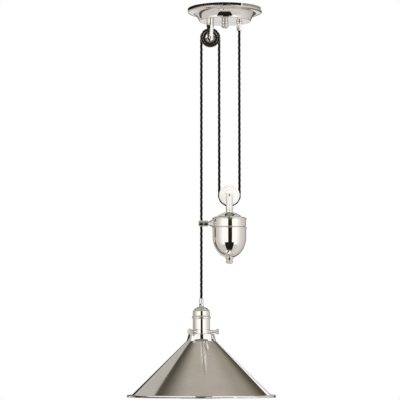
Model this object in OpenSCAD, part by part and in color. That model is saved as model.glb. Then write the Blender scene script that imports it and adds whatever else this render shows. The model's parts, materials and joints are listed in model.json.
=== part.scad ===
// Rise and fall pendant: a cone shade on a twisted flex that runs over a ceiling wheel and
// under the wheel of a counterweight, back up to an anchor on the ceiling rose.
// Origin: on the ceiling, at the centre of the rose. +Z is up and the front faces -Y.

/* [Flex] */
// Diameter of the twisted three-core flex
flex_d = 7; // [6:0.1:7.4]
// Diameter of one insulated core
core_d = 2; // [1.8:0.1:2.2]
// How far the lamp's axis lies to the left of the rose's centre
lamp_left = 65; // [60:0.5:70]

/* [Ceiling rose] */
// Outer diameter of the rose
rose_d = 205; // [196:1:212]
// Height of the rose below the ceiling
rose_h = 35; // [33:1:37]
// Height of the straight rim against the ceiling
rose_rim_h = 8; // [6:1:10]
// Radius where the rim's lip ends and the cone starts
rose_lip_r = 87; // [84:1:90]
// Radius of the flat face under the cone
rose_face_r = 71.5; // [68:0.5:74]
// How far the cone curves in between its lip and its face
rose_cove = 2.1; // [0:0.1:3]
// Sheet thickness of the rose and of the lampholder's cap
sheet_t = 1.2; // [1:0.1:1.5]
// Distance between the two fixing slots
slot_spacing = 70; // [60:1:80]
// Overall length of a fixing slot
slot_l = 20; // [14:1:24]
// Width of a fixing slot
slot_w = 4.5; // [4:0.1:5.5]

/* [Wheels and forks] */
// Radius at which the flex runs over the ceiling wheel
ceiling_pitch_r = 24.5; // [24:0.1:25]
// Radius at which the flex runs under the counterweight's wheel
weight_pitch_r = 27.75; // [27.5:0.05:28.5]
// Thickness of both wheels
wheel_t = 9.4; // [9.2:0.1:9.6]
// Height of the ceiling wheel's axle
ceiling_axle_z = -80.5; // [-82:0.5:-79]
// Height of the counterweight's wheel axle
weight_axle_z = -516.5; // [-522:0.5:-512]
// Diameter of both axles
axle_d = 6; // [5:0.5:6]
// Running clearance between an axle and its bush, on the radius
axle_gap = 0.03; // [0.02:0.01:0.08]
// Diameter of the ceiling fork's boss
fork_boss_d = 20.5; // [20:0.1:21]
// Diameter of the counterweight's fork
weight_fork_d = 20.8; // [20.4:0.1:21.2]

/* [Counterweight] */
// Outer diameter of the counterweight's cup
cup_d = 92; // [90:1:94]
// Height of the joint between the band and the cup
joint_z = -603.5; // [-605:0.5:-602]
// Height of the lid's lower edge
lid_z = -584; // [-585:1:-582]
// Height of the lid's top
lid_top_z = -563; // [-564:0.5:-561]
// Height where the cup's straight wall ends and its bowl starts
bowl_z = -629; // [-632:1:-626]
// Depth of the half-elliptic bowl
bowl_h = 60; // [57:1:63]
// Wall of the lid, the band and the cup
weight_wall = 1.6; // [1.4:0.1:2]
// Height of the iron ballast's top face
ballast_z = -605.9; // [-612:0.1:-604]

/* [Guide arm] */
// Height of the guide arm's axis
arm_z = -594; // [-595:0.5:-593]
// Diameter of the arm's trumpet where it meets the band
arm_flare_d = 30; // [26:1:30]
// Diameter of the arm's barrel
arm_barrel_d = 17; // [14:0.5:17]

/* [Lampholder] */
// Height of the cord grip's top
grip_top_z = -799; // [-801:0.5:-797]
// Diameter of the cord grip
grip_d = 11.8; // [11.6:0.1:13]
// Diameter of the lampholder's body
holder_d = 47; // [46:0.5:48]
// Diameter of the bead round the body
holder_bead_d = 52; // [50:0.5:53]
// Inner radius of the lamp cap's screw shell
screw_shell_r = 13.3; // [13.2:0.1:13.5]

/* [Gallery and shade] */
// Outer diameter of the gallery's collar
collar_d = 50.4; // [50:0.1:52]
// Height of the thumbscrews' axis
thumb_z = -889.5; // [-890.5:0.5:-888.5]
// Turn of the first thumbscrew from the right, towards the front
thumb_turn = -14; // [-30:1:0]
// Diameter of the gallery's bell at its mouth
bell_d = 81; // [80:0.5:83]
// Height of the shade's top
shade_top_z = -915; // [-916:0.5:-914]
// Diameter of the shade's cone at its top
shade_top_d = 82; // [81:0.5:84]
// Diameter of the shade's cone at its foot
shade_foot_d = 377.4; // [372:0.2:382]
// Height of the cone
shade_cone_h = 145.5; // [142:0.5:148]
// Overall diameter of the shade's rim
shade_rim_d = 405; // [400:1:412]
// Thickness of the shade's wired rim
shade_rim_t = 3.4; // [3:0.1:4]
// Sheet thickness of the shade
shade_t = 0.7; // [0.6:0.1:1.2]

/* [Hidden] */
$fn = 96;

flex_r = flex_d / 2;
lamp_x = -lamp_left;
ceiling_wheel_x = lamp_x + ceiling_pitch_r;
middle_x = ceiling_wheel_x + ceiling_pitch_r;
weight_x = middle_x + weight_pitch_r;
anchor_x = weight_x + weight_pitch_r;

// rose
rose_r = rose_d / 2;
lip_drop = 5;
cone_round = 2.5;
bracket_l = 104;
bracket_w = 22;
bracket_t = 2;
pilot_r = 1.5;
pilot_x = 6.5;
pilot_y = 14;
stud_r = 4;
stud_end_z = -47;
stud_nut_af = 13;
plate_l = 112;
plate_w = 34;
plate_t = 2.5;
plate_z = -rose_h + sheet_t;
plate_top = plate_z + plate_t;
spigot_r = 5;
spigot_gap = 0.1;
spigot_top = -22;
bore_r = flex_r + 0.2;
washer_t = 1;
nut_h = 5;
nut_af = 17;
block_x0 = 11;
block_x1 = 29;
block_w = 32;
block_h = 13;
core_pitch = 10;
core_spread = 2.15;
screw_r = 2;
earth_x = -18;
earth_y = 10;

// gland on the rose
gland_bead_r = 8.6;
gland_bead_h = 6.2;
gland_r = 6.8;
gland_end_z = -61;
grub_r = 2;
grub_z = -50;
flex_end_z = spigot_top - 4;

// forks and wheels
slot_half = wheel_t / 2 + 0.3;
axle_r = axle_d / 2;
bush_r = axle_r + axle_gap;
bush_wall_r = 4.5;
groove_r = flex_r + 0.2;
flange_over = 1.6;
weight_flange_over = 0.3;
wheel_dish = 0.25;
head_r = 4;
head_t = 1.6;
spot_y = 9.2;
fork_end_r = 9.2;
crown_gap = 1.6;
fork_crown_z = ceiling_axle_z + ceiling_pitch_r + flex_r + crown_gap;
weight_slot_z = weight_axle_z - weight_pitch_r - flex_r - crown_gap;

// counterweight
cup_r = cup_d / 2;
band_r = cup_r - 0.5;
cup_bead_r = 1.6;
rod_r = 4;
rod_top_z = -552.5;
cup_foot_r = 11.4;
cup_foot_z = bowl_z - bowl_h * sqrt(1 - pow(cup_foot_r / cup_r, 2));
cup_inner_r = cup_r - weight_wall;
bowl_inner_h = bowl_h - weight_wall;
ballast_gap = 1;
ballast_foot_r = 12;
knob_neck_r = 7.5;
knob_neck_z = -695.3;
knob_foot_z = -700;
rod_end_z = -693;

// guide arm
arm_end_x = lamp_x - 7.6;
knob_x = lamp_x + 5.3;
neck_w = 1.2;
barrel_end_x = -47;
arm_neck_r = 5.4;
trumpet_power = 1.35;
guide_bore_r = flex_r + 0.4;
guide_bush_r = 4.4;
guide_lip_r = 5.5;
guide_flat = 7;
guide_lip_t = 1;
arm_stud_r = 3;
arm_nut_af = 10;
arm_nut_t = 4;

// lampholder
holder_r = holder_d / 2;
holder_wall = 1.2;
grip_r = grip_d / 2;
grip_end_z = -814;
grip_screw_z = -806;
grip_screw_r = 1.6;
grip_nut_af = 12;
flex_foot_z = grip_end_z - 12;
cap_dome_r = 19.5;
cap_dome_z = -830;
cap_wall_z = -834.5;
cap_end_z = -846;
cap_nut_z = grip_end_z - 9.5;
cap_curve_r = 8.6;
cap_shoulder_r = 3.8;
cap_flare_r = 11.4;
cap_flare_z = -818.4;
skirt_bead_z = -855;
skirt_end_z = -906;
ledge_z = cap_end_z - 3;
insulator_r = holder_r - holder_wall - 0.4;
block_top_z = -842;
block_end_z = -860;
shell_wall = 0.5;
shell_top_z = -866;
shell_end_z = -895;
contact_end_z = -863.5;
post_x = 11;
post_r = 2.5;
feed_x = 5;
sleeve_end_z = -899;

// gallery
collar_top_z = -883.5;
collar_gap = 0.1;
collar_inner_r = holder_r + collar_gap;
collar_end_z = -895;
shoulder_r = 35.4;
bell_r = bell_d / 2;
spigot_out_r = 29.2;
spigot_in_r = 27.2;
spigot_end_z = -924;
boss_r = 4.7;
boss_end = 33;
bell_wall = 1.4;
bell_flare = 2;
bell_flare_h = 6;
floor_t = 2.6;
shank_r = 2;
thumb_gap = 0.3;
thumb_neck_r = 3;
thumb_neck_end = 35.6;
thumb_barrel_r = 4.6;
thumb_barrel_end = 42.8;
thumb_disc_r = 7.9;
thumb_end = 47.3;
thumb_angles = [thumb_turn, thumb_turn - 120, thumb_turn + 120];

// shade
shade_top_r = shade_top_d / 2;
shade_foot_r = shade_foot_d / 2;
shade_foot_z = shade_top_z - shade_cone_h;
shade_rim_r = shade_rim_d / 2;
rim_radii = [1, 20.2, 45.8, 1.2];
rim_turns = [90, 16, 7.5, 5, -90];
ring_r = 36.5;
ring_t = 3.2;
ring_notch_r = 2;

nickel = [0.86, 0.85, 0.83];
steel = [0.62, 0.63, 0.65];
brass_colour = [0.80, 0.66, 0.36];
iron = [0.25, 0.25, 0.26];
white = [0.93, 0.92, 0.88];
flex_colour = [0.05, 0.05, 0.05];

// Points along an ellipse's arc, about (cx, cz), from angle a0 to a1
function arc(cx, cz, rx, rz, a0, a1, n = 8) =
    [for (i = [0:n]) let (a = a0 + (a1 - a0) * i / n) [cx + rx * cos(a), cz + rz * sin(a)]];

// Points from a to b, bowed to the left of that way by sag at the middle
function bowed(a, b, sag, n = 10) = let (way = unit(b - a), left = [-way[1], way[0]])
    [for (i = [0:n]) let (t = i / n) a + (b - a) * t + 4 * sag * t * (1 - t) * left];

function unit(v) = v / norm(v);

// Arcs one after another, each tangent to the last, from their radii and the angles between them
function chained(c, radii, turns, n, i = 0) = i == len(radii) ? [] : concat(
    [for (k = [i == 0 ? 0 : 1:n]) let (a = turns[i] + (turns[i + 1] - turns[i]) * k / n)
        c + radii[i] * [cos(a), sin(a)]],
    chained(next_centre(c, radii, turns, i), radii, turns, n, i + 1));

// Centre of the arc that follows arc i
function next_centre(c, radii, turns, i) = let (a = turns[i + 1], next = i + 1 < len(radii) ? radii[i + 1] : 0)
    c + (radii[i] - next) * [cos(a), sin(a)];

// How far the last of those arcs reaches beyond the first one's centre
function chained_x(radii, turns, i = 0) = i == len(radii) - 1 ? radii[i] :
    (radii[i] - radii[i + 1]) * cos(turns[i + 1]) + chained_x(radii, turns, i + 1);

// A solid of revolution about the vertical line at x
module turned(points, x = 0) {
    translate([x, 0, 0]) rotate_extrude() polygon(points);
}

// A plain ring or disc about the vertical line at x, from z0 up to z1
module ring(x, z0, z1, outer_r, inner_r = 0) {
    translate([x, 0, z0]) difference() {
        cylinder(r = outer_r, h = z1 - z0);
        if (inner_r > 0) translate([0, 0, -1]) cylinder(r = inner_r, h = z1 - z0 + 2);
    }
}

// A hexagon nut about the vertical line at x, from z0 up to z1
module hex_nut(x, z0, z1, across_flats, hole_r) {
    translate([x, 0, z0]) difference() {
        cylinder(d = across_flats / cos(30), h = z1 - z0, $fn = 6);
        translate([0, 0, -1]) cylinder(r = hole_r, h = z1 - z0 + 2);
    }
}

// A round bar along Y, from y0 to y1
module bar_y(x, z, y0, y1, r) {
    translate([x, y1, z]) rotate([90, 0, 0]) cylinder(r = r, h = y1 - y0);
}

// A round bar along X, from x0 to x1
module bar_x(x0, x1, z, r, y = 0) {
    translate([x0, y, z]) rotate([0, 90, 0]) cylinder(r = r, h = x1 - x0);
}

// A point of the cubic curve a, b, c, d at parameter t
function curve_point(p, t) = pow(1 - t, 3) * p[0] + 3 * t * pow(1 - t, 2) * p[1]
    + 3 * t * t * (1 - t) * p[2] + pow(t, 3) * p[3];

function curve_turn(p, t) = 3 * pow(1 - t, 2) * (p[1] - p[0]) + 6 * t * (1 - t) * (p[2] - p[1])
    + 3 * t * t * (p[3] - p[2]);

// One insulated core, swept along a cubic curve that never runs along side
module core(p, side = [0, 1, 0], sides = 8, rings = 12) {
    points = [for (i = [0:rings]) let (
        t = i / rings,
        along = unit(curve_turn(p, t)),
        u = unit(cross(along, side)),
        v = cross(along, u))
        for (k = [0:sides - 1]) let (a = 360 * k / sides)
            curve_point(p, t) + core_d / 2 * (cos(a) * u + sin(a) * v)];
    skin = [for (i = [0:rings - 1], k = [0:sides - 1]) let (
        a = i * sides + k,
        b = i * sides + (k + 1) % sides)
        [a, b, b + sides, a + sides]];
    polyhedron(points, concat(skin, [
        [for (k = [sides - 1:-1:0]) k],
        [for (k = [0:sides - 1]) rings * sides + k]
    ]), convexity = 4);
}

// ---- Ceiling rose ----

// Spun cover: straight rim, rounded lip, cone and flat face, with three holes
module rose_cover() {
    t = sheet_t;
    rim = -rose_rim_h;
    lip_z = rim - lip_drop;
    knee = [rose_face_r, -rose_h + cone_round];
    knee_in = knee + [-t, t / 2];
    outer = concat(
        [[rose_r, 0]],
        arc(rose_lip_r, rim, rose_r - rose_lip_r, lip_drop, 0, -90),
        bowed([rose_lip_r - 0.6, lip_z], knee, -rose_cove),
        arc(rose_face_r - cone_round, -rose_h + cone_round, cone_round, cone_round, -15, -90, 4),
        [[0, -rose_h]]
    );
    inner = concat(
        [[0, -rose_h + t], [rose_face_r - cone_round, -rose_h + t]],
        bowed(knee_in, [rose_lip_r - 0.6 - t / 2, lip_z + t], rose_cove),
        arc(rose_lip_r, rim, rose_r - rose_lip_r - t, lip_drop - t, -90, 0),
        [[rose_r - t, 0]]
    );
    color(nickel) difference() {
        turned(concat(outer, inner));
        for (x = [ceiling_wheel_x, anchor_x])
            translate([x, 0, -rose_h - 1]) cylinder(r = spigot_r + spigot_gap, h = t + 2);
        translate([0, 0, -rose_h - 1]) cylinder(r = stud_r + spigot_gap, h = t + 2);
    }
}

// Steel strap that screws to the ceiling through two slots
module ceiling_bracket() {
    color(steel) difference() {
        translate([-bracket_w / 2, -bracket_l / 2, -bracket_t]) cube([bracket_w, bracket_l, bracket_t]);
        translate([0, 0, -bracket_t - 1]) cylinder(r = stud_r, h = bracket_t + 2);
        for (side = [-1, 1]) {
            for (end = [-1, 1])
                translate([0, side * slot_spacing / 2 + end * (slot_l - slot_w) / 2, -bracket_t - 1])
                    cylinder(d = slot_w, h = bracket_t + 2);
            translate([-slot_w / 2, side * slot_spacing / 2 - (slot_l - slot_w) / 2, -bracket_t - 1])
                cube([slot_w, slot_l - slot_w, bracket_t + 2]);
        }
        for (side = [-1, 1])
            translate([side * pilot_x, pilot_y, -bracket_t - 1]) cylinder(r = pilot_r, h = bracket_t + 2);
    }
}

// Threaded stud from the bracket down to the finial
module centre_stud() {
    color(steel) ring(0, stud_end_z, 0, stud_r);
}

module stud_lock_nut() {
    color(steel) hex_nut(0, -bracket_t - nut_h, -bracket_t, stud_nut_af, stud_r);
}

// Turned nut under the rose, with two beads
module rose_finial() {
    top = -rose_h;
    outer = concat(
        [[0, top], [8.2, top]],
        arc(7.2, top - 3.6, 2.8, 3.2, 75, -75, 6),
        [[7.2, top - 8.2]],
        arc(6.6, top - 12.4, 3.6, 3.6, 60, -30, 6),
        arc(0, top - 13.4, 9, 6.2, -20, -90, 6)
    );
    color(nickel) difference() {
        turned(outer);
        translate([0, 0, top - 12.5]) cylinder(r = stud_r + 0.02, h = 13.5);
    }
}

// Plate that carries the fork and the gland, clamped to the rose's face
module load_plate() {
    color(steel) difference() {
        translate([-plate_l / 2, -plate_w / 2, plate_z]) cube([plate_l, plate_w, plate_t]);
        for (x = [ceiling_wheel_x, anchor_x])
            translate([x, 0, plate_z - 1]) cylinder(r = spigot_r + spigot_gap, h = plate_t + 2);
        translate([0, 0, plate_z - 1]) cylinder(r = stud_r + spigot_gap, h = plate_t + 2);
        translate([earth_x, earth_y, plate_z - 1]) cylinder(r = screw_r, h = plate_t + 2);
    }
}

// Three-way connector on the load plate
module terminal_block() {
    color(white) difference() {
        translate([block_x0, -block_w / 2, plate_top]) cube([block_x1 - block_x0, block_w, block_h]);
        for (i = [-1:1]) {
            translate([block_x1 - 3, i * core_pitch, plate_top + 4])
                cylinder(r = core_d / 2 + 0.7, h = block_h);
            translate([block_x0 + 5, i * core_pitch, plate_top + 6])
                cylinder(r = screw_r + 0.1, h = block_h);
        }
    }
}

module terminal_screws() {
    color(brass_colour) for (i = [-1:1])
        translate([block_x0 + 5, i * core_pitch, plate_top + 6]) cylinder(r = screw_r, h = 4);
}

// The three cores, from the gland's bore over into the connector
module rose_cores() {
    color(flex_colour) for (i = [-1:1])
        core([
            [anchor_x, i * core_spread, flex_end_z],
            [anchor_x, i * core_spread, spigot_top + 18],
            [block_x1 - 3, i * core_pitch, spigot_top + 20],
            [block_x1 - 3, i * core_pitch, plate_top + 5]
        ]);
}

module earth_screw() {
    color(brass_colour) {
        translate([earth_x, earth_y, plate_z]) cylinder(r = screw_r, h = plate_t + 4);
        translate([earth_x, earth_y, plate_top + 4]) cylinder(r = 3.6, h = 2.4);
    }
}

// ---- Forks, axles and wheels ----

// Slot for a wheel, cut right across a fork
module wheel_slot(x, z0, z1) {
    translate([x - 20, -slot_half, z0]) cube([40, 2 * slot_half, z1 - z0]);
}

// Axle hole through both arms, with a flat seat for the head and the nut
module axle_hole(x, z) {
    bar_y(x, z, -20, 20, axle_r);
    bar_y(x, z, -20, -spot_y, head_r + 0.1);
    bar_y(x, z, spot_y, 20, head_r + 0.1);
}

// Turned boss and two arms that hold the ceiling wheel
module ceiling_fork() {
    boss_r = fork_boss_d / 2;
    cheek_z = ceiling_axle_z - 1.2;
    groove_z = -rose_h - 8;
    body = [
        [0, -rose_h], [boss_r, -rose_h], [boss_r, groove_z], [boss_r - 0.6, groove_z - 0.6],
        [boss_r, groove_z - 1.4], [boss_r, groove_z - 9],
        [fork_end_r, cheek_z], [fork_end_r, ceiling_axle_z - 12], [0, ceiling_axle_z - 12]
    ];
    color(nickel) {
        difference() {
            intersection() {
                turned(body, ceiling_wheel_x);
                union() {
                    bar_y(ceiling_wheel_x, ceiling_axle_z, -15, 15, fork_end_r);
                    translate([ceiling_wheel_x - 15, -15, cheek_z]) cube([30, 30, 60]);
                }
            }
            wheel_slot(ceiling_wheel_x, ceiling_axle_z - 20, fork_crown_z);
            axle_hole(ceiling_wheel_x, ceiling_axle_z);
        }
        ring(ceiling_wheel_x, -rose_h - 1, spigot_top, spigot_r);
    }
}

module fork_washer() {
    color(steel) ring(ceiling_wheel_x, plate_top, plate_top + washer_t, 10, spigot_r);
}

module fork_nut() {
    z0 = plate_top + washer_t;
    color(steel) hex_nut(ceiling_wheel_x, z0, z0 + nut_h, nut_af, spigot_r);
}

// Axle with a low domed head at the front
module axle(x, z) {
    bar_y(x, z, -spot_y, spot_y + 3, axle_r);
    translate([x, -spot_y, z]) rotate([90, 0, 0])
        rotate_extrude() polygon(concat([[0, 0], [head_r, 0], [head_r, 0.8]],
            arc(0, 0.8, head_r, head_t - 0.3, 15, 90, 5)));
}

// Low domed nut on the back end of an axle
module axle_nut(x, z) {
    translate([x, spot_y, z]) rotate([-90, 0, 0]) difference() {
        rotate_extrude() polygon(concat([[0, 0], [head_r, 0], [head_r, 2.2]],
            arc(0, 2.2, head_r, 2.2, 15, 90, 5)));
        translate([0, 0, -1]) cylinder(r = axle_r, h = 4);
    }
}

module ceiling_axle() {
    color(steel) axle(ceiling_wheel_x, ceiling_axle_z);
}

module ceiling_axle_nut() {
    color(steel) axle_nut(ceiling_wheel_x, ceiling_axle_z);
}

// Grooved wheel, with a raised rim, a sunk web and a raised boss on both faces. The ring round
// the boss is dished by the given depth
module wheel(x, z, pitch_r, flange_r, dish = 0) {
    half = wheel_t / 2;
    web_half = half - 1.4;
    web_r0 = pitch_r * 0.55;
    web_r1 = pitch_r * 0.83;
    face = [
        [bush_wall_r, half - 0.4], [8.6, half - 0.4], [9.2, half - 0.9 - dish],
        [web_r0 - 0.5, half - 0.9], [web_r0, web_half], [web_r1 - 0.6, web_half], [web_r1, half],
        [flange_r - 0.4, half], [flange_r, half - 0.4], [flange_r, groove_r]
    ];
    back = [for (i = [len(face) - 1:-1:0]) [face[i][0], -face[i][1]]];
    groove = arc(pitch_r, 0, groove_r, groove_r, 90, 270, 12);
    translate([x, 0, z]) rotate([90, 0, 0]) rotate_extrude() polygon(concat(face, groove, back));
}

// Bearing bush, pressed into its wheel
module wheel_bush(x, z) {
    difference() {
        bar_y(x, z, -wheel_t / 2 - 0.1, wheel_t / 2 + 0.1, bush_wall_r);
        bar_y(x, z, -wheel_t, wheel_t, bush_r);
    }
}

module ceiling_wheel() {
    color(nickel)
        wheel(ceiling_wheel_x, ceiling_axle_z, ceiling_pitch_r, ceiling_pitch_r + flange_over, wheel_dish);
}

module ceiling_wheel_bush() {
    color(brass_colour) wheel_bush(ceiling_wheel_x, ceiling_axle_z);
}

module weight_wheel() {
    color(nickel) wheel(weight_x, weight_axle_z, weight_pitch_r, weight_pitch_r + weight_flange_over);
}

module weight_wheel_bush() {
    color(brass_colour) wheel_bush(weight_x, weight_axle_z);
}

// ---- Anchor of the flex on the rose ----

// Turned gland with a bead, a barrel and a threaded spigot, bored for the flex
module anchor_gland() {
    top = -rose_h;
    bead_z = top - gland_bead_h;
    outer = concat(
        [[bore_r, spigot_top], [spigot_r, spigot_top], [spigot_r, top], [gland_bead_r - 1, top]],
        arc(gland_bead_r - 1.6, top - gland_bead_h / 2, 1.6, gland_bead_h / 2, 80, -80, 6),
        [[gland_r, bead_z - 0.4], [gland_r, gland_end_z + 1]],
        [[gland_r - 1, gland_end_z], [bore_r, gland_end_z]]
    );
    color(nickel) difference() {
        turned(outer, anchor_x);
        bar_y(anchor_x, grub_z, 0, 20, grub_r);
    }
}

module anchor_washer() {
    color(steel) ring(anchor_x, plate_top, plate_top + washer_t, 10, spigot_r);
}

module anchor_nut() {
    z0 = plate_top + washer_t;
    color(steel) hex_nut(anchor_x, z0, z0 + nut_h, nut_af, spigot_r);
}

module anchor_grub_screw() {
    color(steel) bar_y(anchor_x, grub_z, flex_r + 0.05, gland_r + 0.6, grub_r);
}

// ---- Flex ----

// A straight hanging stretch
module fall(x, z_low, z_high) {
    translate([x, 0, z_low]) cylinder(r = flex_r, h = z_high - z_low);
}

// Half a turn round a wheel: up = 1 lies over it and up = -1 lies under it
module wrap(x, z, pitch_r, up) {
    translate([x, 0, z]) rotate([90, 0, 0]) rotate([0, 0, up > 0 ? 0 : 180])
        rotate_extrude(angle = 180) translate([pitch_r, 0]) circle(r = flex_r);
}

module flex_lamp_fall() {
    color(flex_colour) fall(lamp_x, flex_foot_z, ceiling_axle_z);
}

module flex_over_wheel() {
    color(flex_colour) wrap(ceiling_wheel_x, ceiling_axle_z, ceiling_pitch_r, 1);
}

module flex_middle_fall() {
    color(flex_colour) fall(middle_x, weight_axle_z, ceiling_axle_z);
}

module flex_under_wheel() {
    color(flex_colour) wrap(weight_x, weight_axle_z, weight_pitch_r, -1);
}

module flex_anchor_fall() {
    color(flex_colour) fall(anchor_x, weight_axle_z, flex_end_z);
}

// ---- Counterweight ----

// Turned fork that stands on the lid and carries the counterweight's wheel
module weight_fork() {
    r = weight_fork_d / 2;
    round_r = r - 0.1;
    round_z = weight_axle_z - 0.9;
    foot_z = lid_top_z + 6.5;
    body = [
        [0, round_z + 15], [r, round_z + 15], [r, foot_z], [r - 0.7, foot_z - 0.5], [r - 0.7, lid_top_z],
        [0, lid_top_z]
    ];
    color(nickel) difference() {
        intersection() {
            turned(body, weight_x);
            union() {
                bar_y(weight_x, round_z, -15, 15, round_r);
                translate([weight_x - 15, -15, round_z - 60]) cube([30, 30, 60]);
            }
        }
        wheel_slot(weight_x, weight_slot_z, weight_axle_z + 20);
        axle_hole(weight_x, weight_axle_z);
        translate([weight_x, 0, lid_top_z - 1]) cylinder(r = rod_r, h = rod_top_z - lid_top_z + 1);
    }
}

module weight_axle() {
    color(steel) axle(weight_x, weight_axle_z);
}

module weight_axle_nut() {
    color(steel) axle_nut(weight_x, weight_axle_z);
}

// How far the dome has fallen at a share of its width: half a straight line and half a cosine
function dome_fall(share) = (share + (1 - cos(180 * share)) / 2) / 2;

// Domed lid that flattens towards a small bead round its edge
module weight_lid() {
    t = weight_wall;
    flat_r = 11;
    edge_z = lid_z + 6;
    drop = lid_top_z - edge_z;
    slope = [for (i = [0:8]) let (r = flat_r + (band_r - flat_r) * i / 8)
        [r, lid_top_z - drop * dome_fall((r - flat_r) / (band_r - flat_r))]];
    under = [for (i = [8:-1:0]) let (r = flat_r + (band_r - t - flat_r) * i / 8)
        [r, lid_top_z - t - drop * dome_fall((r - flat_r) / (band_r - flat_r))]];
    profile = concat(
        [[rod_r + 0.1, lid_top_z]], slope,
        arc(band_r, lid_z + 3, 2, 2, 90, -90, 6),
        [[band_r, lid_z], [band_r - t, lid_z]], under, [[rod_r + 0.1, lid_top_z - t]]
    );
    color(nickel) turned(profile, weight_x);
}

// Plain band between the lid and the cup, drilled for the guide arm
module weight_band() {
    color(nickel) difference() {
        ring(weight_x, joint_z, lid_z, band_r, band_r - weight_wall);
        bar_x(weight_x - band_r - 5, weight_x - band_r + 5, arm_z, arm_stud_r);
    }
}

// Spun cup: a bead at the joint, a straight wall and a half-elliptic bowl
module weight_cup() {
    t = weight_wall;
    steps = 14;
    foot_a = -acos(cup_foot_r / cup_r);
    bead_z = joint_z - 0.8 - cup_bead_r;
    outer = concat(
        [[cup_r - 0.5, joint_z]],
        arc(cup_r, bead_z, cup_bead_r, cup_bead_r, 90, -90, 6),
        arc(0, bowl_z, cup_r, bowl_h, 0, foot_a, steps),
        [[rod_r + 0.1, cup_foot_z]]
    );
    inner = concat(
        [[rod_r + 0.1, cup_foot_z + t]],
        arc(0, bowl_z, cup_inner_r, bowl_inner_h, -acos(cup_foot_r / cup_inner_r), 0, steps),
        [[cup_inner_r, joint_z]]
    );
    color(nickel) turned(concat(outer, inner), weight_x);
}

// Iron slug that fills the cup and balances the lamp
module ballast() {
    r = cup_inner_r - ballast_gap;
    h = bowl_inner_h - ballast_gap;
    profile = concat(
        [[rod_r + 0.2, ballast_z], [r, ballast_z]],
        arc(0, bowl_z, r, h, 0, -acos(ballast_foot_r / r), 12),
        [[rod_r + 0.2, bowl_z - h * sqrt(1 - pow(ballast_foot_r / r, 2))]]
    );
    color(iron) turned(profile, weight_x);
}

module ballast_nut() {
    color(steel) hex_nut(weight_x, ballast_z, ballast_z + nut_h, stud_nut_af, rod_r);
}

// Rod from the fork down through the ballast into the knob
module tie_rod() {
    color(steel) ring(weight_x, rod_end_z, rod_top_z, rod_r);
}

// Turned knob that closes the cup from below
module weight_knob() {
    top = cup_foot_z;
    profile = concat(
        [[0, top], [cup_foot_r - 0.6, top], [cup_foot_r, top - 0.6], [cup_foot_r, top - 1.6]],
        [[knob_neck_r, knob_neck_z]],
        arc(6.6, knob_neck_z - 4.4, 3.6, 3.9, 70, -20, 6),
        arc(0, knob_foot_z, 9.8, 4.8, -25, -90, 5)
    );
    color(nickel) difference() {
        turned(profile, weight_x);
        translate([weight_x, 0, rod_end_z - 0.2]) cylinder(r = rod_r + 0.03, h = 20);
    }
}

// Trumpet, barrel and end knob, turned about X and seated on the band
module guide_arm() {
    flare_r = arm_flare_d / 2;
    barrel_r = arm_barrel_d / 2;
    seat = weight_x - band_r;
    trumpet_x = barrel_end_x + neck_w;
    trumpet_l = seat + 3 - trumpet_x;
    trumpet = [for (i = [0:8]) let (t = i / 8)
        [arm_neck_r + (flare_r - arm_neck_r) * pow(t, trumpet_power), trumpet_x + trumpet_l * t]];
    profile = concat(
        [[0, arm_end_x]],
        arc(barrel_r - 1.6, arm_end_x + 1.6, 1.6, 1.6, -90, 0, 3),
        arc(barrel_r - 0.6, knob_x - 0.6, 0.6, 0.6, 0, 90, 2),
        [[arm_neck_r + 0.8, knob_x], [arm_neck_r + 0.8, knob_x + neck_w]],
        arc(barrel_r - 0.8, knob_x + neck_w + 0.8, 0.8, 0.8, -90, 0, 2),
        arc(barrel_r - 0.8, barrel_end_x - 0.8, 0.8, 0.8, 0, 90, 2),
        [[arm_neck_r, barrel_end_x]],
        trumpet, [[0, seat + 3]]
    );
    color(nickel) {
        difference() {
            translate([0, 0, arm_z]) rotate([0, 90, 0]) rotate_extrude() polygon(profile);
            translate([weight_x, 0, joint_z - 20]) cylinder(r = band_r, h = 60);
            translate([weight_x, 0, joint_z - 20]) cylinder(r = cup_r + cup_bead_r + 0.3, h = 20);
            translate([weight_x, 0, lid_z]) cylinder(r = band_r + 2.3, h = 20);
            translate([lamp_x, 0, arm_z - 20]) cylinder(r = guide_bush_r, h = 40);
            translate([lamp_x, 0, arm_z + guide_flat]) cylinder(r = guide_lip_r + 0.1, h = 10);
            translate([lamp_x, 0, arm_z - guide_flat - 10]) cylinder(r = guide_lip_r + 0.1, h = 10);
        }
        bar_x(seat - 1, seat + 9, arm_z, arm_stud_r);
    }
}

module guide_arm_nut() {
    x0 = weight_x - band_r + weight_wall + 0.4;
    color(steel) translate([x0, 0, arm_z]) rotate([0, 90, 0]) difference() {
        cylinder(d = arm_nut_af / cos(30), h = arm_nut_t, $fn = 6);
        translate([0, 0, -1]) cylinder(r = arm_stud_r, h = arm_nut_t + 2);
    }
}

// Smooth eyelet that the lamp's fall runs through
module guide_bush() {
    color(steel) difference() {
        union() {
            ring(lamp_x, arm_z - guide_flat, arm_z + guide_flat, guide_bush_r);
            ring(lamp_x, arm_z + guide_flat, arm_z + guide_flat + guide_lip_t, guide_lip_r);
            ring(lamp_x, arm_z - guide_flat - guide_lip_t, arm_z - guide_flat, guide_lip_r);
        }
        translate([lamp_x, 0, arm_z - 20]) cylinder(r = guide_bore_r, h = 40);
    }
}

// ---- Lampholder ----

// Barrel that grips the flex, with a threaded spigot into the cap
module cord_grip() {
    outer = [
        [bore_r, grip_top_z], [grip_r - 0.8, grip_top_z], [grip_r, grip_top_z - 0.8],
        [grip_r, grip_end_z], [spigot_r, grip_end_z], [spigot_r, grip_end_z - 15], [bore_r, grip_end_z - 15]
    ];
    color(nickel) difference() {
        turned(outer, lamp_x);
        bar_y(lamp_x, grip_screw_z, 0, 20, grip_screw_r);
    }
}

module grip_nut() {
    color(steel) hex_nut(lamp_x, cap_nut_z - 4, cap_nut_z, grip_nut_af, spigot_r);
}

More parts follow.
